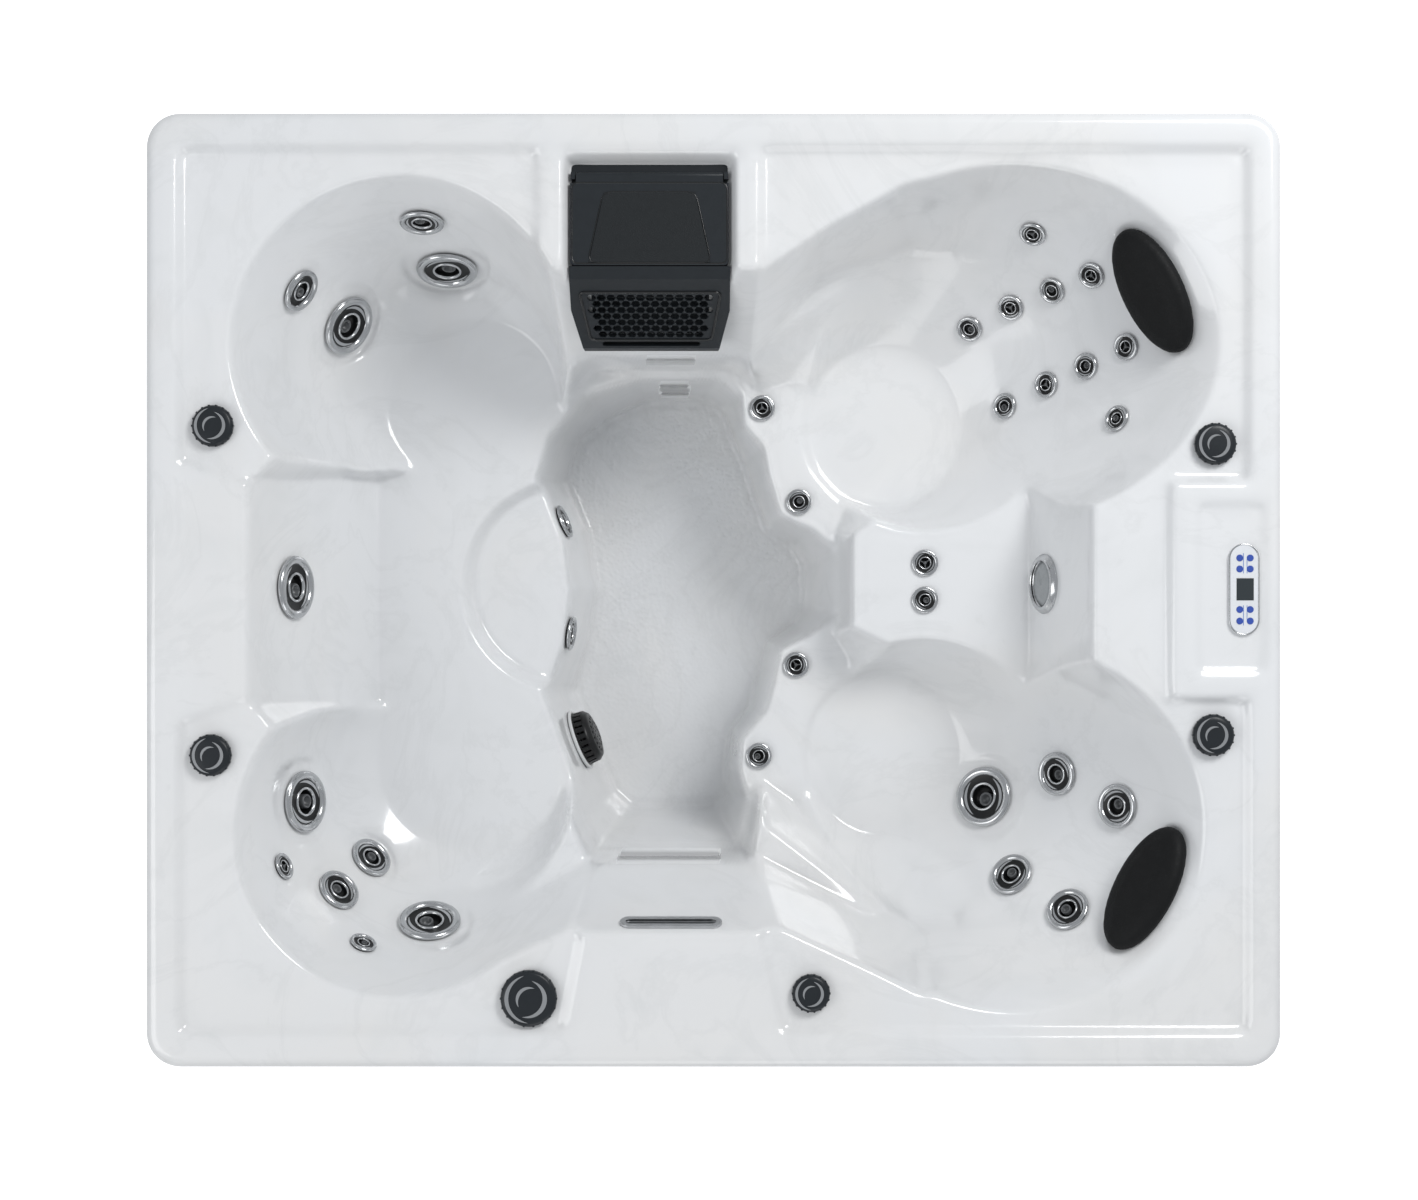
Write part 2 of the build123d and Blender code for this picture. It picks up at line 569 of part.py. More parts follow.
def make_hood():
    """Front of the skimmer: sloping hood with a honeycomb grille and a slot."""
    top = pocket_z + skimmer_flange + lid_clearance + lid_thickness
    back = lid_front_y - 2.0
    under = pocket_z + skimmer_flange + seat_gap
    low_z = mouth_z - 4
    knee = (606.0, top - 12)
    nose = (487.0, 714.0)
    chin = (483.0, 698.0)
    outer = [(back, top), knee, nose, chin, (490.0, low_z), (middle_wall_y(low_z) - seat_gap, low_z),
             (middle_wall_y(under) - seat_gap, under), (back, under)]
    inner = [(back - hood_wall, top - hood_wall), (knee[0] + 2, knee[1] - hood_wall), (nose[0] + 8, nose[1] + 1),
             (chin[0] + 8, low_z + hood_wall), (middle_wall_y(low_z + hood_wall) + 20, low_z + hood_wall),
             (middle_wall_y(under) + 20, under - 1), (back - hood_wall, under - 1)]
    def wedge(points, half):
        face = make_face(Polyline(*[(skimmer_x - half, y, z) for y, z in points], close=True))
        return extrude(face, 2 * half, dir=(1, 0, 0))
    slope = Vector(0, knee[0] - nose[0], knee[1] - nose[1])
    front = Plane((skimmer_x, (knee[0] + nose[0]) / 2, (knee[1] + nose[1]) / 2), x_dir=(1, 0, 0),
                  z_dir=Vector(1, 0, 0).cross(slope))
    reach = slope.length / 2 + 34
    sides = Polyline((-hood_half_low, -reach), (hood_half_low, -reach), (hood_half_top, 10), (hood_half_top, reach),
                     (-hood_half_top, reach), (-hood_half_top, 10), close=True)
    sides_in = Polyline((-hood_half_low + hood_wall, -reach), (hood_half_low - hood_wall, -reach),
                        (hood_half_top - hood_wall, 10), (hood_half_top - hood_wall, reach),
                        (-hood_half_top + hood_wall, reach), (-hood_half_top + hood_wall, 10), close=True)
    hood = wedge(outer, hood_half_top) & (front * (Plane((0, 0, -200)) * extrude(make_face(sides), 400)))
    room = wedge(inner, hood_half_top) & (front * (Plane((0, 0, -200)) * extrude(make_face(sides_in), 400)))
    hood -= room
    cells = []
    for row in range(7):
        v = 44 - row * cell_pitch * 0.866
        half = 132 - row * 3.0
        count = int((2 * half - cell_pitch) / cell_pitch)
        if (count + row) % 2:
            count -= 1
        for i in range(count + 1):
            u = (i - count / 2) * cell_pitch
            cells.append(front * (Pos(u, v, -30) * extrude(RegularPolygon(cell_radius, 6), 60)))
    hood -= cells
    hood -= front * (Pos(0, -82, -30) * extrude(SlotOverall(196, 12), 60))
    write("skimmer_front", [hood])


def make_light():
    ring = light_ring / 2
    glass = light_glass / 2
    bezel = turned(light_plane, [(glass, 0), (ring, 0), (ring, 4), (ring - 4, 9), (ring - 9, 10), (glass + 1, 6),
                                 (glass, 5)])
    throat = disc(light_plane, light_throat, -70, 0) + disc(light_plane, light_throat + 9, -26, -14)
    bezel += disc(light_plane, glass + 2, 0, 2) + throat
    bezel -= disc(light_plane, light_throat - 4, -64, 5)
    write("light_bezel", [bezel])
    lens = turned(light_plane, [(0, 2), (glass - seat_gap, 2), (glass - seat_gap, 5), (glass * 0.8, 8), (0, 10)])
    write("light_lens", [lens])


def make_suction():
    size = suction_size / 2
    top = suction_height
    cover = turned(suction_plane, [(0, 0), (size, 0), (size, 5), (size - 4, 7), (size - 6, top - 14),
                                   (size - 14, top - 5), (size * 0.45, top), (0, top)])
    slots = []
    for i in range(24):
        turn = Rotation(0, 0, 15 * i)
        slots.append(suction_plane * (turn * (Pos(size, 0, top * 0.42) * Box(30, 5, top * 0.4))))
    for ring_radius, count in ((14, 6), (26, 12), (38, 18)):
        for i in range(count):
            turn = Rotation(0, 0, 360 * i / count)
            slots.append(suction_plane * (turn * (Pos(ring_radius, 0, top - 5) * Cylinder(3.2, 30))))
    cover -= disc(suction_plane, size - 12, -1, top - 12)
    cover -= slots
    cover += disc(suction_plane, socket_radius, -72, 0) + disc(suction_plane, socket_radius + 10, -28, -14)
    cover += disc(suction_plane, size - 2, 0, 3)
    cover -= disc(suction_plane, pipe_radius - pipe_wall, -80, 10)
    cover -= disc(suction_plane, pipe_radius + socket_fit, -80, -42)
    write("suction_cover", [cover])


def make_waterfall():
    plate = extrude(SlotOverall(waterfall_length, waterfall_width), 5)
    plate += Plane((0, 0, -45)) * extrude(SlotOverall(waterfall_length - 13, waterfall_width - 13), 46)
    mouth = Plane((0, 0, -39)) * extrude(SlotOverall(waterfall_length - 22, waterfall_width - 20), 60)
    lip = Pos(0, -3, -10) * Box(waterfall_length - 20, 2.5, 24)
    write("waterfall_spout", [waterfall_plane * (plate - mouth + lip)])


def make_pillows():
    for name, bowl, angle, z in pillow_places:
        plane = pillow_plane(bowl, angle, z)
        low = pillow_lift + pillow_gap
        levels = ((0, -7), (pillow_thickness * 0.3, 0), (pillow_thickness * 0.6, -2), (pillow_thickness * 0.85, -14),
                  (pillow_thickness, -34))
        sections = [Plane((0, 0, low + rise)) * Ellipse(pillow_length / 2 + inset, pillow_width / 2 + inset)
                    for rise, inset in levels]
        write(name, [plane * loft(sections)])


def make_control_panel():
    top = recess_z + panel_height
    slot = Rotation(0, 0, 90) * SlotOverall(panel_length, panel_width)
    base = Plane((panel_x, panel_y, recess_z)) * extrude(slot, panel_height)
    base = fillet(base.edges().group_by(Axis.Z)[-1], 2.5)
    inner = Rotation(0, 0, 90) * SlotOverall(panel_length - 27, panel_width - 23)
    base += Plane((panel_x, panel_y, recess_z - panel_boss)) * extrude(inner, panel_boss + 1)
    base -= Pos(screen_x, screen_y, top) * Box(screen_width + 2 * seat_gap, screen_height + 2 * seat_gap, 2 * screen_depth)
    index = 0
    for x in button_columns:
        for y in button_rows:
            index += 1
            base -= Pos(x, y, top) * Cylinder(button_radius + button_fit, 2 * button_depth + 2 * button_rise)
            low = top - button_depth
            button = Pos(x, y, (low + top + button_rise) / 2) * Cylinder(button_radius, button_depth + button_rise)
            write("button_%d" % index, [fillet(button.edges().group_by(Axis.Z)[-1], 0.6)])
    write("control_panel", [base])
    write("panel_screen", [Pos(screen_x, screen_y, top - screen_depth / 2) * Box(screen_width, screen_height, screen_depth)])


# Cabinet
cabinet_half_x = 1065.0
cabinet_half_y = 890.0
cabinet_wall = 22.0
cabinet_low_z = 14.0
cabinet_top_z = 822.0
corner_reach = 95.0
corner_radius = 60.0
corner_proud = 3.0
panel_joint = 1.5
groove_pitch = 134.0
groove_depth = 4.0
groove_width = 7.0
access_gap = 0.3
rail_x = 38.0
rail_y = 18.0
rail_height = 62.0
post_width = 80.0
pan_wall = 8.0
pan_height = 52.0
drain_x = -60.0
drain_z = 80.0
drain_radius = 13.0


def grooved(panel, across_x, outer, span):
    """Panel with level grooves cut in its outer face."""
    count = int((cabinet_top_z - cabinet_low_z) / groove_pitch)
    cuts = []
    for i in range(1, count + 1):
        z = cabinet_low_z + i * groove_pitch
        if across_x:
            cuts.append(Pos(outer, 0, z) * Box(2 * groove_depth, span, groove_width))
        else:
            cuts.append(Pos(0, outer, z) * Box(span, 2 * groove_depth, groove_width))
    return panel - cuts


def make_cabinet():
    tall = cabinet_top_z - cabinet_low_z
    mid_z = (cabinet_top_z + cabinet_low_z) / 2
    in_x = cabinet_half_x - cabinet_wall
    in_y = cabinet_half_y - cabinet_wall
    span_x = 2 * (cabinet_half_x - corner_reach - panel_joint)
    span_y = 2 * (cabinet_half_y - corner_reach - panel_joint)
    long_panels = []
    for side in (-1, 1):
        panel = Pos(0, side * (in_y + cabinet_wall / 2), mid_z) * Box(span_x, cabinet_wall, tall)
        panel = grooved(panel, False, side * cabinet_half_y, span_x + 2)
        if side < 0:
            panel -= Pos(drain_x, -in_y, drain_z) * Rotation(90, 0, 0) * Cylinder(drain_radius + hole_fit, 80)
        long_panels.append(panel)
    end_panel = Pos(-in_x - cabinet_wall / 2, 0, mid_z) * Box(cabinet_wall, span_y, tall)
    write("cabinet_panels", long_panels + [grooved(end_panel, True, -cabinet_half_x, span_y + 2)])
    access = Pos(in_x + access_gap + cabinet_wall / 2, 0, mid_z) * Box(cabinet_wall, span_y, tall)
    access = grooved(access, True, cabinet_half_x + access_gap, span_y + 2)
    for side in (-1, 1):
        access -= Pos(cabinet_half_x, side * span_y * 0.3, cabinet_top_z - 60) * Box(24, 130, 26)
    write("access_panel", [access])
    corners = []
    outer_x = cabinet_half_x + corner_proud
    outer_y = cabinet_half_y + corner_proud
    post = Plane((0, 0, cabinet_low_z)) * extrude(
        RectangleRounded(2 * outer_x, 2 * outer_y, corner_radius), tall)
    post -= Pos(0, 0, mid_z) * Box(2 * in_x, 2 * in_y, tall + 10)
    for sx in (-1, 1):
        for sy in (-1, 1):
            piece = Pos(sx * (outer_x - corner_reach / 2), sy * (outer_y - corner_reach / 2), mid_z) * Box(
                corner_reach, corner_reach, tall + 10)
            corners.append(post & piece)
    write("corner_covers", corners)
    make_frame(in_x, in_y)
    make_screws(in_x, in_y, span_y)
    pan = Pos(0, 0, pan_height / 2) * Box(2 * in_x, 2 * in_y, pan_height)
    pan -= Pos(0, 0, pan_wall + pan_height / 2) * Box(2 * in_x - 2 * pan_wall, 2 * in_y - 2 * pan_wall, pan_height)
    write("base_pan", [pan])


def make_frame(in_x, in_y):
    """Timber frame between the base pan and the rim, and the bearers under the footwell."""
    timbers = []
    rail_mid = deck_under_z - rail_height / 2
    for side in (-1, 1):
        timbers.append(Pos(0, side * (in_y - rail_y / 2), rail_mid) * Box(2 * in_x - 2 * rail_x, rail_y, rail_height))
        timbers.append(Pos(side * (in_x - rail_x / 2), 0, rail_mid) * Box(rail_x, 2 * in_y, rail_height))
    post_top = deck_under_z - rail_height
    post_mid = (post_top + pan_wall) / 2
    post_tall = post_top - pan_wall
    inset_x = in_x - pan_wall
    inset_y = in_y - pan_wall
    for sx in (-1, 1):
        for y in (-inset_y + post_width / 2, -250.0, 250.0, inset_y - post_width / 2):
            timbers.append(Pos(sx * (inset_x - (rail_x - pan_wall) / 2), y, post_mid) * Box(
                rail_x - pan_wall, post_width, post_tall))
    for sy in (-1, 1):
        for x in (-350.0, 350.0):
            timbers.append(Pos(x, sy * (inset_y - (rail_y - pan_wall) / 2), post_mid) * Box(
                post_width, rail_y - pan_wall, post_tall))
    bearer_top = footwell_z - shell_wall
    for y in (-200.0, 80.0, 340.0):
        timbers.append(Pos(-60, y, (bearer_top + pan_wall) / 2) * Box(260, 60, bearer_top - pan_wall))
    write("cabinet_frame", timbers)


def make_screws(in_x, in_y, span_y):
    """Panel screws: round heads on the panels' faces, shanks into the frame."""
    screws = []
    hole_free = []
    head = turned(Plane.XY, [(0, 0), (7, 0), (6, 2.5), (3, 3.6), (0, 3.6)])
    for sx in (-1,):
        for y in (-250.0, 250.0):
            for z in (80.0, cabinet_top_z - 40):
                screws.append(Plane((sx * cabinet_half_x, y, z), z_dir=(sx, 0, 0)) * head)
    for sy in (-1, 1):
        for x in (-350.0, 350.0):
            for z in (80.0, cabinet_top_z - 40):
                screws.append(Plane((x, sy * cabinet_half_y, z), z_dir=(0, sy, 0)) * head)
    write("panel_screws", screws)


# Equipment behind the access panel
pump_x = 800.0
pump_z = 150.0
wet_front_y = -150.0
wet_back_y = -60.0
wet_radius = 85.0
motor_radius = 72.0
motor_length = 250.0
shaft_radius = 8.0
impeller_radius = 58.0
heater_z = 345.0
heater_start_y = -180.0
heater_length = 300.0
heater_radius = 42.0
diverter_x = knobs[0][2]
diverter_y = knobs[0][3]
suction_run_z = 66.0
filter_run_x = 600.0


def along_y(x, y, z, facing=1):
    return Plane((x, y, z), x_dir=(1, 0, 0), z_dir=(0, facing, 0))


def make_pump():
    back = along_y(pump_x, wet_back_y, pump_z, -1)
    depth = wet_back_y - wet_front_y
    wet = disc(back, wet_radius, 0, depth) + disc(back, socket_radius, depth, depth + 36)
    riser = Plane((pump_x, (wet_front_y + wet_back_y) / 2, pump_z))
    wet += disc(riser, socket_radius, 40, wet_radius + 36)
    wet -= disc(back, wet_radius - 22, 14, depth - 14)
    wet -= disc(back, pipe_radius + socket_fit, depth + 6, depth + 50)
    wet -= disc(back, pipe_radius - pipe_wall, depth - 20, depth + 20)
    wet -= disc(riser, pipe_radius + socket_fit, wet_radius + 6, wet_radius + 50)
    wet -= disc(riser, pipe_radius - pipe_wall, 40, wet_radius + 20)
    wet -= disc(back, shaft_radius + running_fit, -5, 20)
    foot_top = pump_z - wet_radius + 12
    wet += Pos(pump_x, wet_back_y - depth / 2, (pan_wall + foot_top) / 2) * Box(70, 50, foot_top - pan_wall)
    write("pump_wet_end", [wet])
    front = along_y(pump_x, wet_back_y, pump_z, 1)
    motor = disc(front, motor_radius, 0, motor_length)
    fins = [front * (Rotation(0, 0, 360 * i / 20) * (Pos(motor_radius, 0, motor_length / 2) * Box(16, 4, motor_length - 60)))
            for i in range(20)]
    motor += fins
    motor += Pos(pump_x, wet_back_y + motor_length / 2, (pan_wall + pump_z - 60) / 2) * Box(
        120, 130, pump_z - 60 - pan_wall)
    motor -= disc(front, shaft_radius + running_fit, -5, 60)
    write("pump_motor", [motor])
    impeller = disc(back, impeller_radius, 24, 30) + disc(back, 20, 24, 56)
    impeller += [back * (Rotation(0, 0, 60 * i) * (Pos(36, 0, 42) * Rotation(0, 0, 30) * Box(38, 5, 25)))
                 for i in range(6)]
    impeller += disc(back, shaft_radius, -50, 30)
    write("pump_impeller", [impeller])


def make_heater():
    heater_end = heater_start_y - heater_length
    plane = along_y(pump_x, heater_start_y, heater_z, -1)
    body = disc(plane, heater_radius, 0, heater_length)
    body += [disc(plane, heater_radius + 8, place, place + 26) for place in (10, heater_length - 36)]
    body -= disc(plane, pipe_radius + socket_fit, -5, 36)
    body -= disc(plane, pipe_radius + socket_fit, heater_length - 36, heater_length + 5)
    body -= disc(plane, heater_radius - 5, 44, heater_length - 44)
    body -= disc(plane, pipe_radius - pipe_wall, 0, heater_length)
    write("heater", [body])
    box_low = pan_wall
    box = Pos(920, -300, box_low + 140) * Box(110, 260, 280)
    box = fillet(box.edges().filter_by(Axis.Z), 8)
    box += Pos(920, -300, box_low + 250) * Box(118, 268, 12)
    box += [Plane((920, -300 + dy, box_low + 278)) * extrude(Circle(11), 16) for dy in (-80, -40, 0, 40, 80)]
    write("control_box", [box])


def pipe(points):
    path = FilletPolyline(*points, radius=pipe_bend)
    start = Plane(path @ 0, z_dir=path % 0)
    return sweep(start * (Circle(pipe_radius) - Circle(pipe_radius - pipe_wall)), path=path)


def make_pipes():
    inlet = suction_plane.origin - suction_plane.z_dir * 46
    bend = suction_plane.origin - suction_plane.z_dir * 150
    port_y = wet_front_y - 8
    suction_run = pipe([inlet, bend, (bend.X, bend.Y, suction_run_z), (pump_x, bend.Y, suction_run_z),
                        (pump_x, port_y - 70, pump_z), (pump_x, port_y, pump_z)])
    mid = (bucket_back_y + bucket_front_y) / 2
    branch_end = bend.Y + pipe_radius + 4
    filter_run = pipe([(skimmer_x, mid, bucket_floor_z - 8), (skimmer_x, mid, suction_run_z),
                       (filter_run_x, mid, suction_run_z), (filter_run_x, branch_end, suction_run_z)])
    tee_line = Plane((filter_run_x - 60, bend.Y, suction_run_z), z_dir=(1, 0, 0))
    tee_side = along_y(filter_run_x, bend.Y, suction_run_z)
    tee = disc(tee_line, socket_radius, 0, 120) + disc(tee_side, socket_radius, 0, 74)
    tee -= disc(tee_line, pipe_radius + socket_fit, -5, 125)
    tee -= disc(tee_side, pipe_radius + socket_fit, pipe_radius, 80)
    wet_mid = (wet_front_y + wet_back_y) / 2
    riser = pipe([(pump_x, wet_mid, pump_z + wet_radius + 8), (pump_x, wet_mid, heater_z),
                  (pump_x, heater_start_y - 30, heater_z)])
    pressure = pipe([(pump_x, heater_start_y - heater_length + 30, heater_z), (pump_x, diverter_y, heater_z),
                     (diverter_x, diverter_y, heater_z), (diverter_x, diverter_y, deck_z - diverter_depth - 2)])
    write("water_pipes", [suction_run, filter_run, riser, pressure, tee])
    outside = Plane((drain_x, -cabinet_half_y, drain_z), z_dir=(0, -1, 0))
    valve = disc(outside, drain_radius, -170, 14) + disc(outside, drain_radius + 12, 0, 5)
    valve += disc(outside, drain_radius + 3, 14, 30)
    write("drain_valve", [valve - disc(outside, drain_radius - 4, -180, 22)])


def write(name, solids):
    """Write one node of the tub, one file for each."""
    shape = solids[0] if len(solids) == 1 else Compound(solids)
    print(name, len(solids))
    export_step(shape, "parts/%s.step" % name)


def main():
    write("shell", [make_shell()])
    make_jets()
    make_knobs()
    make_skimmer()
    make_light()
    make_suction()
    make_waterfall()
    make_pillows()
    make_control_panel()
    make_cabinet()
    make_pump()
    make_heater()
    make_pipes()


if __name__ == "__main__":
    main()
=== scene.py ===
import json
import math

import bmesh
import bpy
import numpy as np
from mathutils import Matrix, Vector
from mathutils.bvhtree import BVHTree


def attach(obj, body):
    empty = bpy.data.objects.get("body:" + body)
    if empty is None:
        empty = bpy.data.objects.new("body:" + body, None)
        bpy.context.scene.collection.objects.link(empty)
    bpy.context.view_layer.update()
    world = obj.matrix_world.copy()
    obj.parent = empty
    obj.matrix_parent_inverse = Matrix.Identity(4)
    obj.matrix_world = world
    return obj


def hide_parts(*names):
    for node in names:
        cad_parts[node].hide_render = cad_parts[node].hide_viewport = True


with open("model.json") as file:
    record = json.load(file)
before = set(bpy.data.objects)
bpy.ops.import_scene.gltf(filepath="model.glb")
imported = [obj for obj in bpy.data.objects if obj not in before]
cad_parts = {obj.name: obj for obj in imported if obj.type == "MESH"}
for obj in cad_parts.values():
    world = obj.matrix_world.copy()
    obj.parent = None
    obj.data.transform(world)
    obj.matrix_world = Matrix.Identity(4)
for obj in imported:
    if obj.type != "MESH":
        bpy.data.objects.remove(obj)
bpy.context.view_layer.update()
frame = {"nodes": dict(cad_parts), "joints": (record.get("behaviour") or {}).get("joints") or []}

nodes = frame["nodes"]
joints = {joint["name"]: joint for joint in frame["joints"]}

# Sizes in metres
grid_step = 0.004
half_x = 1.1
half_y = 0.925
corner_radius = 0.068
lip_radius = 0.022
skirt_low = 0.828
wall = 0.008
deck_z = 0.878
under_rim_z = 0.868
collar = 0.0033
light_place = ((0.6741, 0.0134, 0.665), (-0.9593, 0.0, 0.2822))
suction_place = ((-0.2945, -0.3266, 0.2862), (0.9296, 0.3514, 0.1116))
waterfall_place = ((-0.0828, -0.6501, 0.856), (0.0, 0.929, 0.370))
panel_place = (1.0266, 0.0014, 0.887)
skimmer_x = -0.1245
knob_hole = 0.018
light_patch = 0.040
suction_patch = 0.038
waterfall_patch = 0.026
waterfall_shifts = (-0.08, -0.04, 0.0, 0.04, 0.08)
jet_sizes = {"large": 0.127, "medium": 0.090, "wall": 0.075, "small": 0.055}
jet_holes = {"large": 0.034, "medium": 0.0265, "wall": 0.023, "small": 0.0175}
floor_half = 14.0
world_strength = 0.50
lamps = (("key", (2.4, 2.6, 4.2), 1.8, 122.0), ("fill", (-3.2, -1.2, 3.6), 2.6, 42.0),
         ("low", (0.5, -4.0, 2.2), 2.4, 24.0))
lamp_target = (0, 0, 0.5)
camera_place = (-0.0087, -0.0193, 5.4)
camera_lens = 59.15
camera_sensor = 36.0


# Materials
def shader(name):
    material = bpy.data.materials.new(name)
    material.use_nodes = True
    tree = material.node_tree
    return material, tree, tree.nodes["Principled BSDF"]


def noise(tree, scale, detail=4.0, distortion=0.0, rough=0.5):
    place = tree.nodes.new("ShaderNodeTexCoord")
    texture = tree.nodes.new("ShaderNodeTexNoise")
    texture.inputs["Scale"].default_value = scale
    texture.inputs["Detail"].default_value = detail
    texture.inputs["Distortion"].default_value = distortion
    texture.inputs["Roughness"].default_value = rough
    tree.links.new(place.outputs["Object"], texture.inputs["Vector"])
    return texture.outputs["Fac"]


def spread(tree, value, low, high, to_low, to_high):
    mapping = tree.nodes.new("ShaderNodeMapRange")
    mapping.inputs["From Min"].default_value = low
    mapping.inputs["From Max"].default_value = high
    mapping.inputs["To Min"].default_value = to_low
    mapping.inputs["To Max"].default_value = to_high
    tree.links.new(value, mapping.inputs["Value"])
    return mapping.outputs["Result"]


def blend_colors(tree, share, first, second):
    mix = tree.nodes.new("ShaderNodeMix")
    mix.data_type = "RGBA"
    tree.links.new(share, mix.inputs["Factor"])
    for socket, color in ((mix.inputs["A"], first), (mix.inputs["B"], second)):
        if isinstance(color, tuple):
            socket.default_value = (*color, 1.0)
        else:
            tree.links.new(color, socket)
    return mix.outputs["Result"]


def bump(tree, principled, height, distance, strength=1.0):
    node = tree.nodes.new("ShaderNodeBump")
    node.inputs["Distance"].default_value = distance
    node.inputs["Strength"].default_value = strength
    tree.links.new(height, node.inputs["Height"])
    tree.links.new(node.outputs["Normal"], principled.inputs["Normal"])


def surface(name, color, rough, metallic=0.0, coat=0.0, grain=60.0, depth=0.0001, vary=0.12, gloss=0.5):
    """Plain finish with uneven tone, uneven gloss and a fine grain."""
    material, tree, principled = shader(name)
    darker = tuple(c * (1.0 - vary) for c in color)
    tone = spread(tree, noise(tree, grain * 0.15), 0.3, 0.7, 0.0, 1.0)
    tree.links.new(blend_colors(tree, tone, darker, color), principled.inputs["Base Color"])
    fine = noise(tree, grain, 5.0)
    roughness = spread(tree, fine, 0.3, 0.7, rough * 0.85, min(1.0, rough * 1.15))
    tree.links.new(roughness, principled.inputs["Roughness"])
    principled.inputs["Metallic"].default_value = metallic
    principled.inputs["Coat Weight"].default_value = coat
    principled.inputs["Specular IOR Level"].default_value = gloss
    bump(tree, principled, fine, depth)
    return material


def acrylic_surface():
    """Pearl-white acrylic with faint grey veins, cream swirls and a pebbled footwell floor."""
    material, tree, principled = shader("pearl_acrylic")
    veins = noise(tree, 2.6, 7.0, 1.6, 0.62)
    offset = tree.nodes.new("ShaderNodeMath")
    offset.operation = "SUBTRACT"
    offset.inputs[1].default_value = 0.5
    tree.links.new(veins, offset.inputs[0])
    ridge = tree.nodes.new("ShaderNodeMath")
    ridge.operation = "ABSOLUTE"
    tree.links.new(offset.outputs[0], ridge.inputs[0])
    vein_share = spread(tree, ridge.outputs[0], 0.0, 0.035, 0.14, 0.0)
    cloud = spread(tree, noise(tree, 1.7, 5.0, 0.9), 0.42, 0.72, 0.0, 0.45)
    base = blend_colors(tree, cloud, (0.80, 0.81, 0.82), (0.81, 0.79, 0.755))
    patches = spread(tree, noise(tree, 4.3, 6.0, 2.2), 0.5, 0.78, 0.0, 0.3)
    greyed = blend_colors(tree, patches, base, (0.70, 0.715, 0.715))
    veined = blend_colors(tree, vein_share, greyed, (0.60, 0.61, 0.61))
    tree.links.new(veined, principled.inputs["Base Color"])
    principled.inputs["Roughness"].default_value = 0.16
    principled.inputs["Coat Weight"].default_value = 0.5
    principled.inputs["Coat Roughness"].default_value = 0.04
    place = tree.nodes.new("ShaderNodeTexCoord")
    axes = tree.nodes.new("ShaderNodeSeparateXYZ")
    tree.links.new(place.outputs["Object"], axes.inputs["Vector"])
    pebbles = tree.nodes.new("ShaderNodeTexVoronoi")
    pebbles.feature = "SMOOTH_F1"
    pebbles.inputs["Scale"].default_value = 120.0
    tree.links.new(place.outputs["Object"], pebbles.inputs["Vector"])
    low = spread(tree, axes.outputs["Z"], 0.14, 0.165, 1.0, 0.0)
    far = spread(tree, axes.outputs["Y"], -0.35, 0.2, 0.25, 1.0)
    mask = tree.nodes.new("ShaderNodeMath")
    mask.operation = "MULTIPLY"
    tree.links.new(low, mask.inputs[0])
    tree.links.new(far, mask.inputs[1])
    height = tree.nodes.new("ShaderNodeMath")
    height.operation = "MULTIPLY"
    tree.links.new(pebbles.outputs["Distance"], height.inputs[0])
    tree.links.new(mask.outputs[0], height.inputs[1])
    bump(tree, principled, height.outputs[0], 0.0022)
    return material


def board_surface():
    """Cabinet board with a lengthwise grain."""
    material, tree, principled = shader("cabinet_board")
    place = tree.nodes.new("ShaderNodeTexCoord")
    stretch = tree.nodes.new("ShaderNodeMapping")
    stretch.inputs["Scale"].default_value = (3.0, 3.0, 90.0)
    grain = tree.nodes.new("ShaderNodeTexNoise")
    grain.inputs["Scale"].default_value = 1.6
    grain.inputs["Detail"].default_value = 8.0
    tree.links.new(place.outputs["Object"], stretch.inputs["Vector"])
    tree.links.new(stretch.outputs["Vector"], grain.inputs["Vector"])
    tone = spread(tree, grain.outputs["Fac"], 0.3, 0.7, 0.0, 1.0)
    color = blend_colors(tree, tone, (0.055, 0.056, 0.06), (0.12, 0.12, 0.125))
    tree.links.new(color, principled.inputs["Base Color"])
    principled.inputs["Roughness"].default_value = 0.5
    bump(tree, principled, grain.outputs["Fac"], 0.0008)
    return material


acrylic = acrylic_surface()
backing = surface("shell_backing", (0.45, 0.46, 0.45), 0.7, grain=40, depth=0.002)
steel = surface("polished_steel", (0.56, 0.57, 0.58), 0.17, metallic=1.0, grain=220, depth=0.00004,
                vary=0.06)
brushed = surface("brushed_steel", (0.60, 0.61, 0.62), 0.32, metallic=1.0, grain=300, depth=0.00008)
black = surface("black_plastic", (0.010, 0.0105, 0.011), 0.34, grain=180, depth=0.00006, gloss=0.3)
charcoal = surface("charcoal_plastic", (0.019, 0.023, 0.027), 0.33, grain=260, depth=0.0001, gloss=0.28)
charcoal_rough = surface("charcoal_textured", (0.013, 0.016, 0.018), 0.55, grain=520, depth=0.0008,
                         gloss=0.25)
gloss_black = surface("gloss_black", (0.010, 0.011, 0.012), 0.12, grain=120, depth=0.00003, gloss=0.5)
foam = surface("pillow_foam", (0.009, 0.0095, 0.010), 0.55, grain=340, depth=0.0005, gloss=0.15)
gasket_white = surface("gasket_white", (0.75, 0.76, 0.76), 0.45, grain=90, depth=0.0001)
lens_grey = surface("lens_grey", (0.30, 0.32, 0.33), 0.22, coat=0.2, grain=120, depth=0.0012)
panel_white = surface("panel_white", (0.78, 0.80, 0.83), 0.28, coat=0.3, grain=140, depth=0.00003,
                      vary=0.05)
button_blue = surface("button_blue", (0.035, 0.085, 0.42), 0.35, grain=200, depth=0.00003)
line_blue = surface("line_blue", (0.10, 0.22, 0.60), 0.4, grain=200, depth=0.00002)
screen_dark = surface("screen_dark", (0.020, 0.028, 0.033), 0.12, coat=0.5, grain=80, depth=0.00002)
board = board_surface()
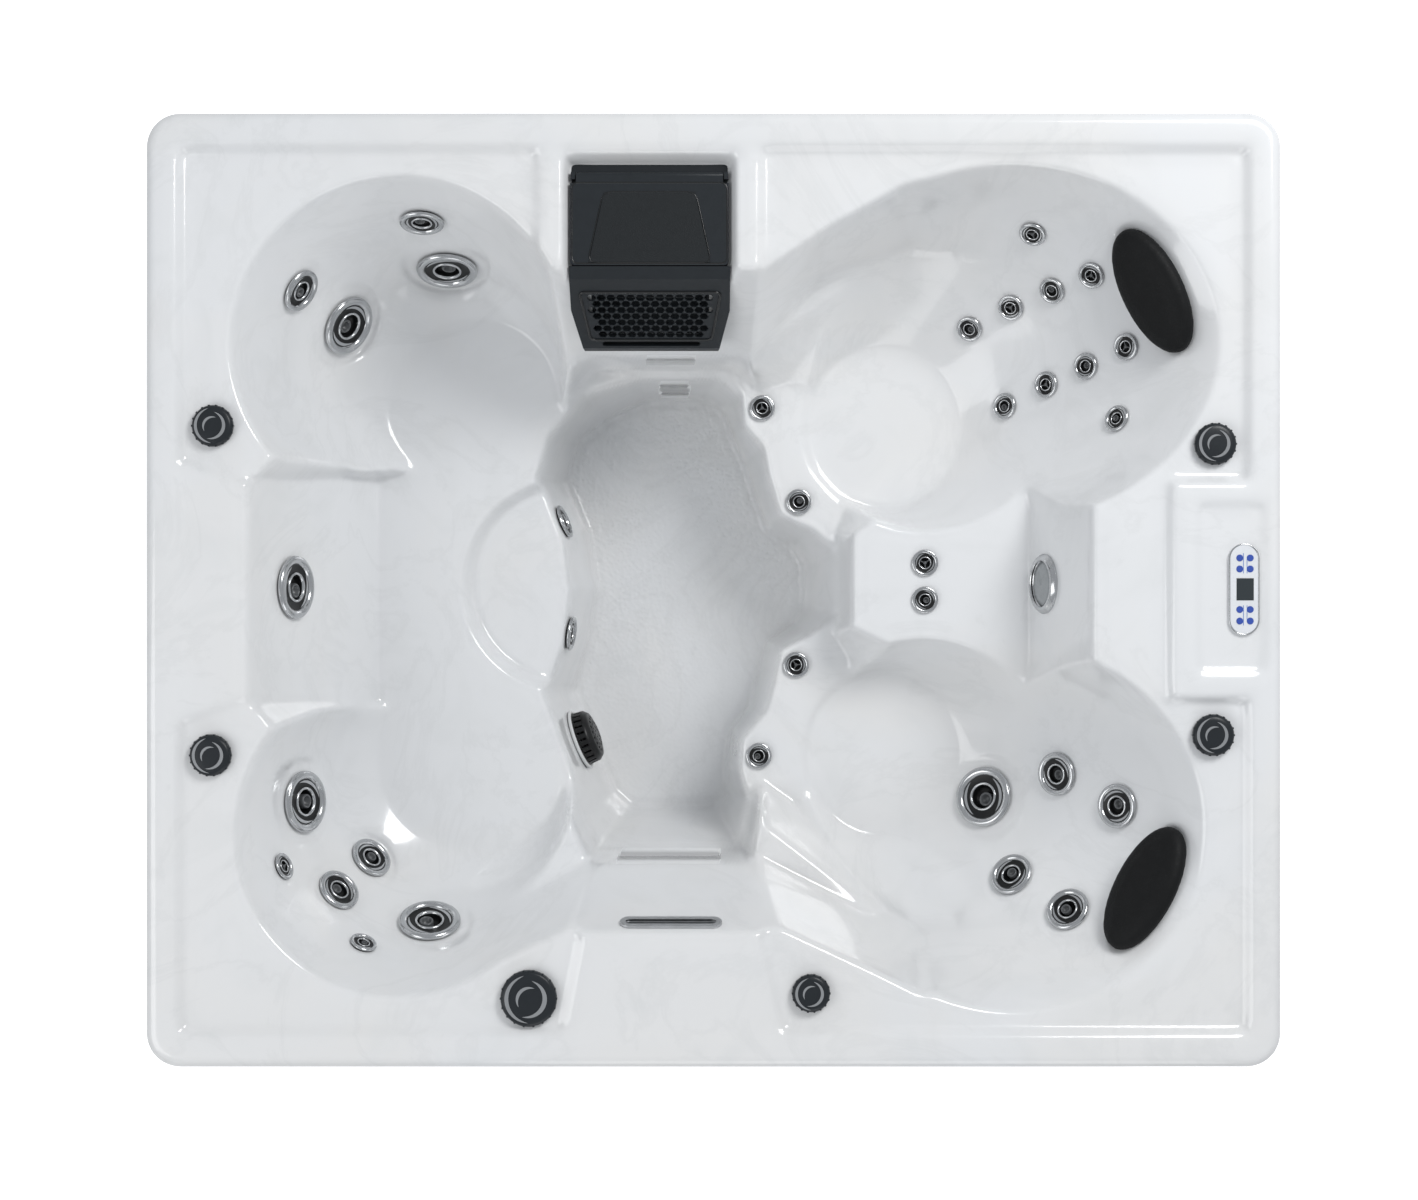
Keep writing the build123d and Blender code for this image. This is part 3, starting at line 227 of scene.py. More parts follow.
corner_board = surface("corner_plastic", (0.035, 0.036, 0.039), 0.42, grain=120, depth=0.0003)
timber = surface("timber", (0.45, 0.30, 0.16), 0.7, grain=45, depth=0.0006, vary=0.3)
pipe_white = surface("pipe_white", (0.72, 0.72, 0.70), 0.35, grain=60, depth=0.0001)
box_grey = surface("box_grey", (0.16, 0.165, 0.17), 0.45, grain=160, depth=0.0003)
motor_paint = surface("motor_paint", (0.03, 0.04, 0.06), 0.38, coat=0.2, grain=130, depth=0.0003)
filter_cloth = surface("filter_cloth", (0.74, 0.74, 0.70), 0.85, grain=420, depth=0.0006)
brass = surface("valve_brass", (0.55, 0.40, 0.16), 0.3, metallic=1.0, grain=150, depth=0.0001)

node_materials = {
    "jet_bodies": black, "valve_bodies": black, "skimmer_housing": charcoal, "skimmer_lid": charcoal,
    "skimmer_front": charcoal, "skimmer_weir": charcoal, "filter_cartridge": filter_cloth,
    "light_bezel": steel, "light_lens": lens_grey, "suction_cover": black, "waterfall_spout": brushed,
    "control_panel": panel_white, "panel_screen": screen_dark, "cabinet_panels": board,
    "access_panel": board, "corner_covers": corner_board, "cabinet_frame": timber,
    "panel_screws": brushed, "base_pan": corner_board, "pump_wet_end": black, "pump_motor": motor_paint,
    "pump_impeller": charcoal, "heater": brushed, "control_box": box_grey, "water_pipes": pipe_white,
    "drain_valve": brass}
default_edge = 0.0005
edge_widths = {
    "skimmer_lid": 0.0022, "skimmer_front": 0.0009, "skimmer_housing": 0.0012, "cabinet_panels": 0.0015,
    "access_panel": 0.0015, "corner_covers": 0.002, "base_pan": 0.003, "cabinet_frame": 0.002,
    "control_box": 0.002, "waterfall_spout": 0.0008, "suction_cover": 0.0006}


def finish_nodes():
    """Finishes on the CAD nodes that stay in view, with softened edges."""
    for name, obj in nodes.items():
        finish = button_blue if name.startswith("button_") else node_materials.get(name)
        if finish is None:
            continue
        obj.data.materials.clear()
        obj.data.materials.append(finish)
        weld = obj.modifiers.new("weld", "WELD")
        weld.merge_threshold = 0.00002
        edge = obj.modifiers.new("soft_edge", "BEVEL")
        edge.width = edge_widths.get(name, default_edge)
        edge.segments = 2
        edge.limit_method = "ANGLE"
        edge.angle_limit = math.radians(38)
        edge.use_clamp_overlap = True


# Mesh helpers
def place_on(origin, axis):
    """Matrix with its Z along the axis and its X level."""
    axis = Vector(axis).normalized()
    side = Vector((0, 0, 1)).cross(axis)
    if side.length < 0.05:
        side = Vector((1, 0, 0))
    side.normalize()
    turned = Matrix((side, axis.cross(side), axis)).transposed().to_4x4()
    return Matrix.Translation(Vector(origin)) @ turned


def turned_vert(mesh, place, radius, angle, level):
    return mesh.verts.new(place @ Vector((radius * math.cos(angle), radius * math.sin(angle), level)))


def band(mesh, place, profile, slot=0, segments=56):
    """Band turned round the place's Z from (radius, height) points."""
    rings = []
    for radius, height in profile:
        if radius < 1e-6:
            rings.append([mesh.verts.new(place @ Vector((0, 0, height)))])
        else:
            rings.append([turned_vert(mesh, place, radius, 2 * math.pi * k / segments, height)
                          for k in range(segments)])
    for low, high in zip(rings, rings[1:]):
        for k in range(segments):
            ahead = (k + 1) % segments
            if len(high) == 1:
                corners = (low[k], low[ahead], high[0])
            elif len(low) == 1:
                corners = (low[0], high[ahead], high[k])
            else:
                corners = (low[k], low[ahead], high[ahead], high[k])
            face = mesh.faces.new(corners)
            face.material_index = slot
            face.smooth = True


def crescent(mesh, place, outer, inner, start, sweep, height, slot):
    """Raised crescent, widest in the middle and pointed at both ends."""
    count = 20
    rows = []
    for k in range(count + 1):
        share = k / count
        angle = start + sweep * share
        cut = outer - (outer - inner) * math.sin(math.pi * share) ** 0.75
        low = height - 0.0008
        rows.append([turned_vert(mesh, place, radius, angle, level)
                     for radius, level in ((outer, low), (outer, height), (cut, height), (cut, low))])
    for here, ahead in zip(rows, rows[1:]):
        for i in range(3):
            face = mesh.faces.new((here[i], ahead[i], ahead[i + 1], here[i + 1]))
            face.material_index = slot


def bar(mesh, place, start, end, width, low, high, slot):
    """Straight bar between two points on the place."""
    start = Vector(start)
    end = Vector(end)
    side = (end - start).normalized()
    side = Vector((-side.y, side.x)) * (width / 2)
    corners = [start - side, start + side, end + side, end - side]
    lower = [mesh.verts.new(place @ Vector((c.x, c.y, low))) for c in corners]
    upper = [mesh.verts.new(place @ Vector((c.x, c.y, high))) for c in corners]
    faces = [upper]
    for i in range(4):
        faces.append([lower[i], lower[(i + 1) % 4], upper[(i + 1) % 4], upper[i]])
    for corners in faces:
        mesh.faces.new(corners).material_index = slot


def linked(name, data):
    obj = bpy.data.objects.new(name, data)
    bpy.context.scene.collection.objects.link(obj)
    return obj


def new_piece(name, mesh, materials, body, *replaced):
    bmesh.ops.recalc_face_normals(mesh, faces=mesh.faces)
    data = bpy.data.meshes.new(name)
    mesh.to_mesh(data)
    mesh.free()
    for material in materials:
        data.materials.append(material)
    obj = linked(name, data)
    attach(obj, body)
    if replaced:
        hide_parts(*replaced)
    return obj


def node_points(name):
    return np.array([v.co[:] for v in nodes[name].data.vertices])


def islands(name):
    """Vertex groups of a node's separate solids."""
    mesh = bmesh.new()
    mesh.from_mesh(nodes[name].data)
    bmesh.ops.remove_doubles(mesh, verts=mesh.verts, dist=0.00002)
    seen = set()
    groups = []
    for vert in mesh.verts:
        if vert in seen:
            continue
        stack = [vert]
        seen.add(vert)
        group = []
        while stack:
            here = stack.pop()
            group.append(here.co[:])
            for edge in here.link_edges:
                other = edge.other_vert(here)
                if other not in seen:
                    seen.add(other)
                    stack.append(other)
        groups.append(np.array(group))
    mesh.free()
    return groups


def disc_place(points):
    """Middle and upward axis of a disc-shaped solid from its points."""
    middle = (points.max(axis=0) + points.min(axis=0)) / 2
    directions = np.linalg.eigh(np.cov((points - points.mean(axis=0)).T))[1]
    axis = directions[:, 0]
    if axis[2] < 0:
        axis = -axis
    return middle, axis


# Jets
def jet_pads():
    """Each jet's node or None, place on its pad, size and the radius of the hole behind it."""
    found = []
    for name in sorted(nodes):
        if not name.startswith("jet_") or name == "jet_bodies":
            continue
        kind = name.split("_")[1]
        joint = joints[name + "_turn"]
        axis = np.array(joint["axis"], float)
        origin = np.array(joint["pos_m"], float)
        top = ((node_points(name) - origin) @ axis).max()
        pad = top - 0.08 * jet_sizes[kind] - collar
        found.append((name, place_on(origin + axis * pad, axis), jet_sizes[kind], jet_holes[kind]))
    for points in islands("small_jet_faces"):
        middle, axis = disc_place(points)
        along = (points - middle) @ axis
        front = points[along > along.max() - 0.004]
        centre = (front.max(axis=0) + front.min(axis=0)) / 2
        centre = centre - axis * (((centre - middle) @ axis) - along.max())
        size = jet_sizes["small"]
        found.append((None, place_on(centre - axis * (0.08 * size + 0.003), axis), size, jet_holes["small"]))
    return found


def add_jet(mesh, place, size, spokes, turn):
    """Bezel, cup and either three spokes or an off-centre nozzle."""
    tall = 0.08 * size

    def rows(points):
        return [(radius * size, collar + height * tall) for radius, height in points]

    band(mesh, place, rows([(0.485, 0.0), (0.5, 0.2), (0.498, 0.45), (0.488, 0.72), (0.468, 0.92),
                            (0.443, 1.0), (0.415, 0.97), (0.39, 0.84), (0.372, 0.62), (0.362, 0.4)]), 0)
    band(mesh, place, rows([(0.362, 0.4), (0.35, 0.34), (0.24, 0.30)]), 1)
    for k in range(2):
        crescent(mesh, place, 0.345 * size, 0.295 * size, turn + k * 3.142, 1.9, collar + 0.44 * tall, 0)
    band(mesh, place, rows([(0.24, 0.30), (0.237, 0.55), (0.225, 0.66), (0.207, 0.64), (0.196, 0.5),
                            (0.19, 0.2)]), 0)
    band(mesh, place, rows([(0.19, 0.2), (0.186, -0.4), (0.17, -1.3), (0.0, -1.3)]), 1)
    if spokes:
        for k in range(3):
            angle = turn + k * 2.094
            end = (0.19 * size * math.cos(angle), 0.19 * size * math.sin(angle))
            bar(mesh, place, (0, 0), end, 0.035 * size, collar - 0.4 * tall, collar + 0.25 * tall, 2)
        band(mesh, place, rows([(0.06, -0.4), (0.06, 0.35), (0.045, 0.45), (0.0, 0.45)]), 2)
    else:
        shift = Matrix.Translation((0.055 * size * math.cos(turn), 0.055 * size * math.sin(turn), 0))
        band(mesh, place @ shift, rows([(0.115, -1.1), (0.115, 0.05), (0.105, 0.22), (0.09, 0.22),
                                        (0.078, 0.05), (0.07, -1.0), (0.0, -1.0)]), 2)


def make_jets(pads):
    fixed = bmesh.new()
    nozzle = surface("nozzle_grey", (0.10, 0.105, 0.11), 0.3, grain=200, depth=0.00005)
    for index, (name, place, size, hole) in enumerate(pads):
        turn = 0.9 + index * 1.3
        if name:
            mesh = bmesh.new()
            add_jet(mesh, place, size, False, turn)
            new_piece(name + "_bezel", mesh, (steel, black, nozzle), name + "_body", name)
        else:
            add_jet(fixed, place, size, index % 2 == 0, turn)
    new_piece("small_jet_bezels", fixed, (steel, black, nozzle), "tub", "small_jet_faces")


def make_knobs():
    for name, joint in joints.items():
        if "knob" not in name:
            continue
        node = name[:-5]
        size = max((node_points(node).max(axis=0) - node_points(node).min(axis=0))[:2])
        edge = size / 2
        place = Matrix.Translation(Vector(joint["pos_m"]))
        mesh = bmesh.new()
        band(mesh, place, [(edge * 0.7, 0.0034), (edge - 0.003, 0.0034), (edge - 0.0006, 0.0048),
                           (edge, 0.0075), (edge - 0.0006, 0.013), (edge - 0.0028, 0.0168),
                           (edge - 0.0065, 0.0190), (edge * 0.72, 0.0199), (edge * 0.4, 0.0203),
                           (0.0, 0.0203)], 0)
        grips = 18
        for k in range(grips):
            angle = 2 * math.pi * k / grips
            way = Vector((math.cos(angle), math.sin(angle)))
            bar(mesh, place, way * (edge - 0.004), way * (edge + 0.0006), 0.0035, 0.006, 0.0145, 0)
        crescent(mesh, place, edge * 0.84, edge * 0.70, math.radians(100), math.radians(170), 0.0210, 1)
        crescent(mesh, place, edge * 0.66, edge * 0.50, math.radians(250), math.radians(190), 0.0212, 1)
        crescent(mesh, place, edge * 0.44, edge * 0.32, math.radians(60), math.radians(160), 0.0213, 1)
        new_piece(node + "_cap", mesh, (charcoal, steel), node + "_body", node)


# Shell
def outline_distance(x, y):
    """Distance inside the rounded outline, negative outside."""
    qx = np.abs(x) - (half_x - corner_radius)
    qy = np.abs(y) - (half_y - corner_radius)
    out = np.hypot(np.maximum(qx, 0), np.maximum(qy, 0)) + np.minimum(np.maximum(qx, qy), 0)
    return corner_radius - out


def near_skimmer(x, y, half, low, high):
    """Places inside a box round the skimmer's mouth."""
    return (np.abs(x - skimmer_x) < half) & (y > low) & (y < high)


def smoothed(field, sigma):
    """Field blurred along both of its axes."""
    radius = int(math.ceil(3 * sigma))
    kernel = np.exp(-0.5 * (np.arange(-radius, radius + 1) / sigma) ** 2)
    kernel /= kernel.sum()
    for axis in (0, 1):
        wide = np.pad(field, [(radius, radius) if a == axis else (0, 0) for a in (0, 1)], mode="edge")
        total = np.zeros_like(field)
        for k, weight in enumerate(kernel):
            part = wide[k:k + field.shape[0], :] if axis == 0 else wide[:, k:k + field.shape[1]]
            total += weight * part
        field = total
    return field


def lowest(field, reach):
    """Lowest value within a square window round each point."""
    for axis in (0, 1):
        wide = np.pad(field, [(reach, reach) if a == axis else (0, 0) for a in (0, 1)], mode="edge")
        parts = [wide[k:k + field.shape[0], :] if axis == 0 else wide[:, k:k + field.shape[1]]
                 for k in range(2 * reach + 1)]
        field = np.min(parts, axis=0)
    return field


def pad_plane(grid_x, grid_y, place):
    """Height of a fitting's flat seat and the distance from its middle."""
    origin = place.translation
    axis = place.col[2].xyz
    level = origin.z - (axis.x * (grid_x - origin.x) + axis.y * (grid_y - origin.y)) / axis.z
    away = np.sqrt((grid_x - origin.x) ** 2 + (grid_y - origin.y) ** 2 + (level - origin.z) ** 2)
    return level, away


def plane_patch(height, grid_x, grid_y, place, radius):
    """Closes a hole with the flat seat round it."""
    level, away = pad_plane(grid_x, grid_y, place)
    height[away < radius] = level[away < radius]


def sink_pad(height, grid_x, grid_y, place, radius):
    """Lets the top down to a jet's pad, with a soft dish beyond the radius."""
    level, away = pad_plane(grid_x, grid_y, place)
    share = np.clip((away - radius) / (0.25 * radius), 0, 1)
    share = share * share * (3 - 2 * share)
    height += (np.minimum(height, level) - height) * (1 - share)


def closed(height):
    """Fills the places that no ray reached from their neighbours."""
    while np.isnan(height).any():
        wide = np.pad(height, 1, mode="edge")
        near = np.stack([wide[:-2, 1:-1], wide[2:, 1:-1], wide[1:-1, :-2], wide[1:-1, 2:]])
        known = (~np.isnan(near)).sum(axis=0)
        middle = np.nansum(near, axis=0) / np.maximum(known, 1)
        height = np.where(np.isnan(height) & (known > 0), middle, height)
    return height


def shell_heights(xs, ys, pads):
    """Heights of the CAD shell's top, with the holes closed and the edges rounded."""
    tree = BVHTree.FromObject(nodes["shell"], bpy.context.evaluated_depsgraph_get())
    grid_x, grid_y = np.meshgrid(xs, ys)
    height = np.full(grid_x.shape, np.nan)
    down = Vector((0, 0, -1))
    for row, y in enumerate(ys):
        for column, x in enumerate(xs):
            hit = tree.ray_cast(Vector((x, y, 2.0)), down)[0]
            if hit is not None:
                height[row, column] = hit.z
    border = outline_distance(grid_x, grid_y) < 0.035
    height[border] = 0.9
    mouth = near_skimmer(grid_x, grid_y, 0.123, 0.5, 0.822)
    slope = 0.906 - (0.630 - grid_y) * 1.9125
    height[mouth] = np.minimum(0.850, slope)[mouth]
    for name, place, size, hole in pads:
        plane_patch(height, grid_x, grid_y, place, hole + grid_step)
    plane_patch(height, grid_x, grid_y, place_on(*light_place), light_patch)
    plane_patch(height, grid_x, grid_y, place_on(*suction_place), suction_patch)
    (slot_x, slot_y, slot_z), slot_axis = waterfall_place
    for shift in waterfall_shifts:
        place = place_on((slot_x + shift, slot_y, slot_z), slot_axis)
        plane_patch(height, grid_x, grid_y, place, waterfall_patch)
    for name, joint in joints.items():
        if "knob" in name:
            x, y, z = joint["pos_m"]
            height[np.hypot(grid_x - x, grid_y - y) < knob_hole] = deck_z
    under_panel = (np.abs(grid_x - panel_place[0]) < 0.024) & (np.abs(grid_y - panel_place[1]) < 0.082)
    height[under_panel] = panel_place[2]
    height = closed(height)
    unit = 0.004 / grid_step
    crisp = smoothed(height, 1.3 * unit)
    soft = smoothed(height, 3.6 * unit)
    share = np.clip((np.abs(crisp - soft) - 0.0015) / 0.004, 0, 1)
    share = smoothed(share, 1.5 * unit)
    height = soft + (crisp - soft) * share
    for name, place, size, hole in pads:
        sink_pad(height, grid_x, grid_y, place, 0.6 * size)
    return smoothed(height, 0.5 * unit)


def sampled(field, xs, ys, x, y):
    """Field at any place between the grid's points."""
    u = np.clip((x - xs[0]) / (xs[1] - xs[0]), 0, len(xs) - 1.001)
    v = np.clip((y - ys[0]) / (ys[1] - ys[0]), 0, len(ys) - 1.001)
    column = u.astype(int)
    row = v.astype(int)
    fu = u - column
    fv = v - row
    low = field[row, column] * (1 - fu) + field[row, column + 1] * fu
    high = field[row + 1, column] * (1 - fu) + field[row + 1, column + 1] * fu
    return low * (1 - fv) + high * fv


def lipped(field, xs, ys, x, y):
    """Height of the top with the rounded lip along the outline."""
    inside = np.clip(outline_distance(x, y), 0, lip_radius)
    drop = lip_radius - np.sqrt(np.maximum(lip_radius ** 2 - (lip_radius - inside) ** 2, 0))
    return sampled(field, xs, ys, x, y) - drop


def relaxed(field, xs, ys):
    """Grid over the top, drawn together where the walls are steep."""
    x, y = np.meshgrid(xs, ys)
    a = np.maximum(np.abs(x) - (half_x - corner_radius), 0)
    b = np.maximum(np.abs(y) - (half_y - corner_radius), 0)
    length = np.hypot(a, b)
    shrink = np.where(length > 0, np.maximum(a, b) / np.where(length > 0, length, 1), 1)
    x = np.sign(x) * (np.abs(x) - a + a * shrink)
    y = np.sign(y) * (np.abs(y) - b + b * shrink)
    for step in range(60):
        z = lipped(field, xs, ys, x, y)
        points = np.stack([x, y, z], axis=-1)
        across = np.linalg.norm(points[:, 1:] - points[:, :-1], axis=-1)
        upward = np.linalg.norm(points[1:, :] - points[:-1, :], axis=-1)
        weights = [across[1:-1, :-1], across[1:-1, 1:], upward[:-1, 1:-1], upward[1:, 1:-1]]
        total = sum(weights)
        for grid in (x, y):
            near = [grid[1:-1, :-2], grid[1:-1, 2:], grid[:-2, 1:-1], grid[2:, 1:-1]]
            moved = sum(w * n for w, n in zip(weights, near)) / total
            grid[1:-1, 1:-1] += 0.6 * (moved - grid[1:-1, 1:-1])
    return x, y, lipped(field, xs, ys, x, y)


def open_spots(middles, pads):
    """Faces of the top that lie inside a fitting's hole."""
    spots = near_skimmer(middles[:, 0], middles[:, 1], 0.114, 0.52, 0.811) & (middles[:, 2] > 0.700)
    for name, place, size, hole in pads:
        away = np.linalg.norm(middles - np.array(place.translation), axis=1)
        spots |= away < 0.30 * size
    origin = np.array(waterfall_place[0])
    axis = np.array(waterfall_place[1])
    from_slot = middles - origin
    up = np.cross(axis, (1.0, 0.0, 0.0))
    beside = np.abs(from_slot[:, 0]) < 0.088
    return spots | (beside & (np.abs(from_slot @ up) < 0.0105) & (np.abs(from_slot @ axis) < 0.02))


def grid_quads(index):
    """Quads of a grid of point numbers."""
    corners = [index[:-1, :-1], index[:-1, 1:], index[1:, 1:], index[1:, :-1]]
    return np.stack(corners, axis=-1).reshape(-1, 4)


def make_shell(pads):
    """Moulded top with its lip and skirt, over a coarser underside."""
    xs = np.linspace(-half_x, half_x, int(round(2 * half_x / grid_step)) + 1)
    ys = np.linspace(-half_y, half_y, int(round(2 * half_y / grid_step)) + 1)
    field = shell_heights(xs, ys, pads)
    x, y, z = relaxed(field, xs, ys)
    rows, columns = z.shape
    points = np.stack([x, y, z], axis=-1).reshape(-1, 3)
    index = np.arange(rows * columns).reshape(rows, columns)
    quads = grid_quads(index)
    quads = quads[~open_spots(points[quads].mean(axis=1), pads)]
    loop = np.concatenate([index[0, :-1], index[:-1, -1], index[-1, :0:-1], index[:0:-1, 0]])
    base = points[loop]
    inward = -base[:, :2] / np.linalg.norm(base[:, :2], axis=1)[:, None]
    rings = [loop]
    levels = ((0.0, 0.862), (0.0, 0.845), (0.0, skirt_low + 0.003), (0.001, skirt_low + 0.0008),
              (0.003, skirt_low), (wall, skirt_low), (wall, under_rim_z))
    extra = []
    count = len(points)
    for inset, level in levels:
        ring = base.copy()
        ring[:, :2] += inward * inset
        ring[:, 2] = level
        extra.append(ring)
        rings.append(np.arange(count, count + len(ring)))
        count += len(ring)
    skirt = []
    for upper, lower in zip(rings, rings[1:]):
        skirt.append(np.stack([upper, lower, np.roll(lower, -1), np.roll(upper, -1)], axis=-1))
    stride = 4
    rows_kept = np.unique(np.append(np.arange(0, rows, stride), rows - 1))
    columns_kept = np.unique(np.append(np.arange(0, columns, stride), columns - 1))
    below = np.stack([x, y, lowest(z, stride + 1)], axis=-1)[np.ix_(rows_kept, columns_kept)].copy()
    below[..., 2] -= wall
    near = outline_distance(below[..., 0], below[..., 1]) < 0.03
    below[..., 2][near] = under_rim_z
    below[..., 0] *= 1 - wall / half_x
    below[..., 1] *= 1 - wall / half_y
    under_index = np.arange(count, count + below.shape[0] * below.shape[1]).reshape(below.shape[:2])
    under = grid_quads(under_index)[:, ::-1]
    middles = below.reshape(-1, 3)[under - count].mean(axis=1)
    under = under[~near_skimmer(middles[:, 0], middles[:, 1], 0.125, 0.5, 0.82)]
    all_points = np.concatenate([points, *extra, below.reshape(-1, 3)])
    faces = np.concatenate([quads, *skirt, under])
    data = bpy.data.meshes.new("shell_moulding")
    data.from_pydata(all_points.tolist(), [], faces.tolist())
    data.polygons.foreach_set("use_smooth", [True] * len(faces))
    slots = np.zeros(len(faces), int)
    slots[len(faces) - len(under):] = 1
    data.polygons.foreach_set("material_index", slots.tolist())
    data.materials.append(acrylic)
    data.materials.append(backing)
    data.update()
    obj = linked("shell_moulding", data)
    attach(obj, "tub")
    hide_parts("shell")


# Pillows
def make_pillow(name):
    mesh = bmesh.new()
    mesh.from_mesh(nodes[name].data)
    bmesh.ops.remove_doubles(mesh, verts=mesh.verts, dist=0.00002)
    data = bpy.data.meshes.new(name + "_start")
    mesh.to_mesh(data)
    mesh.free()
    start = linked(name + "_start", data)
    remesh = start.modifiers.new("remesh", "REMESH")
    remesh.mode = "VOXEL"
    remesh.voxel_size = 0.005
    calm = start.modifiers.new("calm", "SMOOTH")
    calm.factor = 0.5
    calm.iterations = 10
    finer = start.modifiers.new("finer", "SUBSURF")
    finer.levels = 1
    finer.render_levels = 1
    final = bpy.data.meshes.new_from_object(start.evaluated_get(bpy.context.evaluated_depsgraph_get()))
    bpy.data.objects.remove(start)
    final.name = name + "_pad"
    final.materials.clear()
    final.materials.append(foam)
    final.polygons.foreach_set("use_smooth", [True] * len(final.polygons))
    obj = linked(name + "_pad", final)
    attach(obj, "tub")
    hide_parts(name)


# Trim
def stadium(length, width, count=24):
    """Points of a stadium outline that is longer along Y."""
    radius = width / 2
    reach = length / 2 - radius
    points = []
    for side, begin in ((1, 0.0), (-1, math.pi)):
        for k in range(count + 1):
            angle = begin + math.pi * k / count
            points.append((radius * math.cos(angle), side * reach + radius * math.sin(angle)))
    return points


def softened(corners, radius, count=6):
    """Closed outline with its corners rounded off."""
    points = []
    for i, corner in enumerate(corners):
        corner = Vector(corner)
        before = (Vector(corners[i - 1]) - corner).normalized() * radius
        after = (Vector(corners[(i + 1) % len(corners)]) - corner).normalized() * radius
        for k in range(count + 1):
            t = k / count
            points.append(corner + before * (1 - t) ** 2 + after * t ** 2)
    return points


def tube(name, points, radius, closed, material, body="tub"):
    curve = bpy.data.curves.new(name, "CURVE")
    curve.dimensions = "3D"
    curve.bevel_depth = radius
    curve.bevel_resolution = 4
    spline = curve.splines.new("POLY")
    spline.points.add(len(points) - 1)
    for target, point in zip(spline.points, points):
        target.co = (*point, 1.0)
    spline.use_cyclic_u = closed
    curve.materials.append(material)
    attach(linked(name, curve), body)


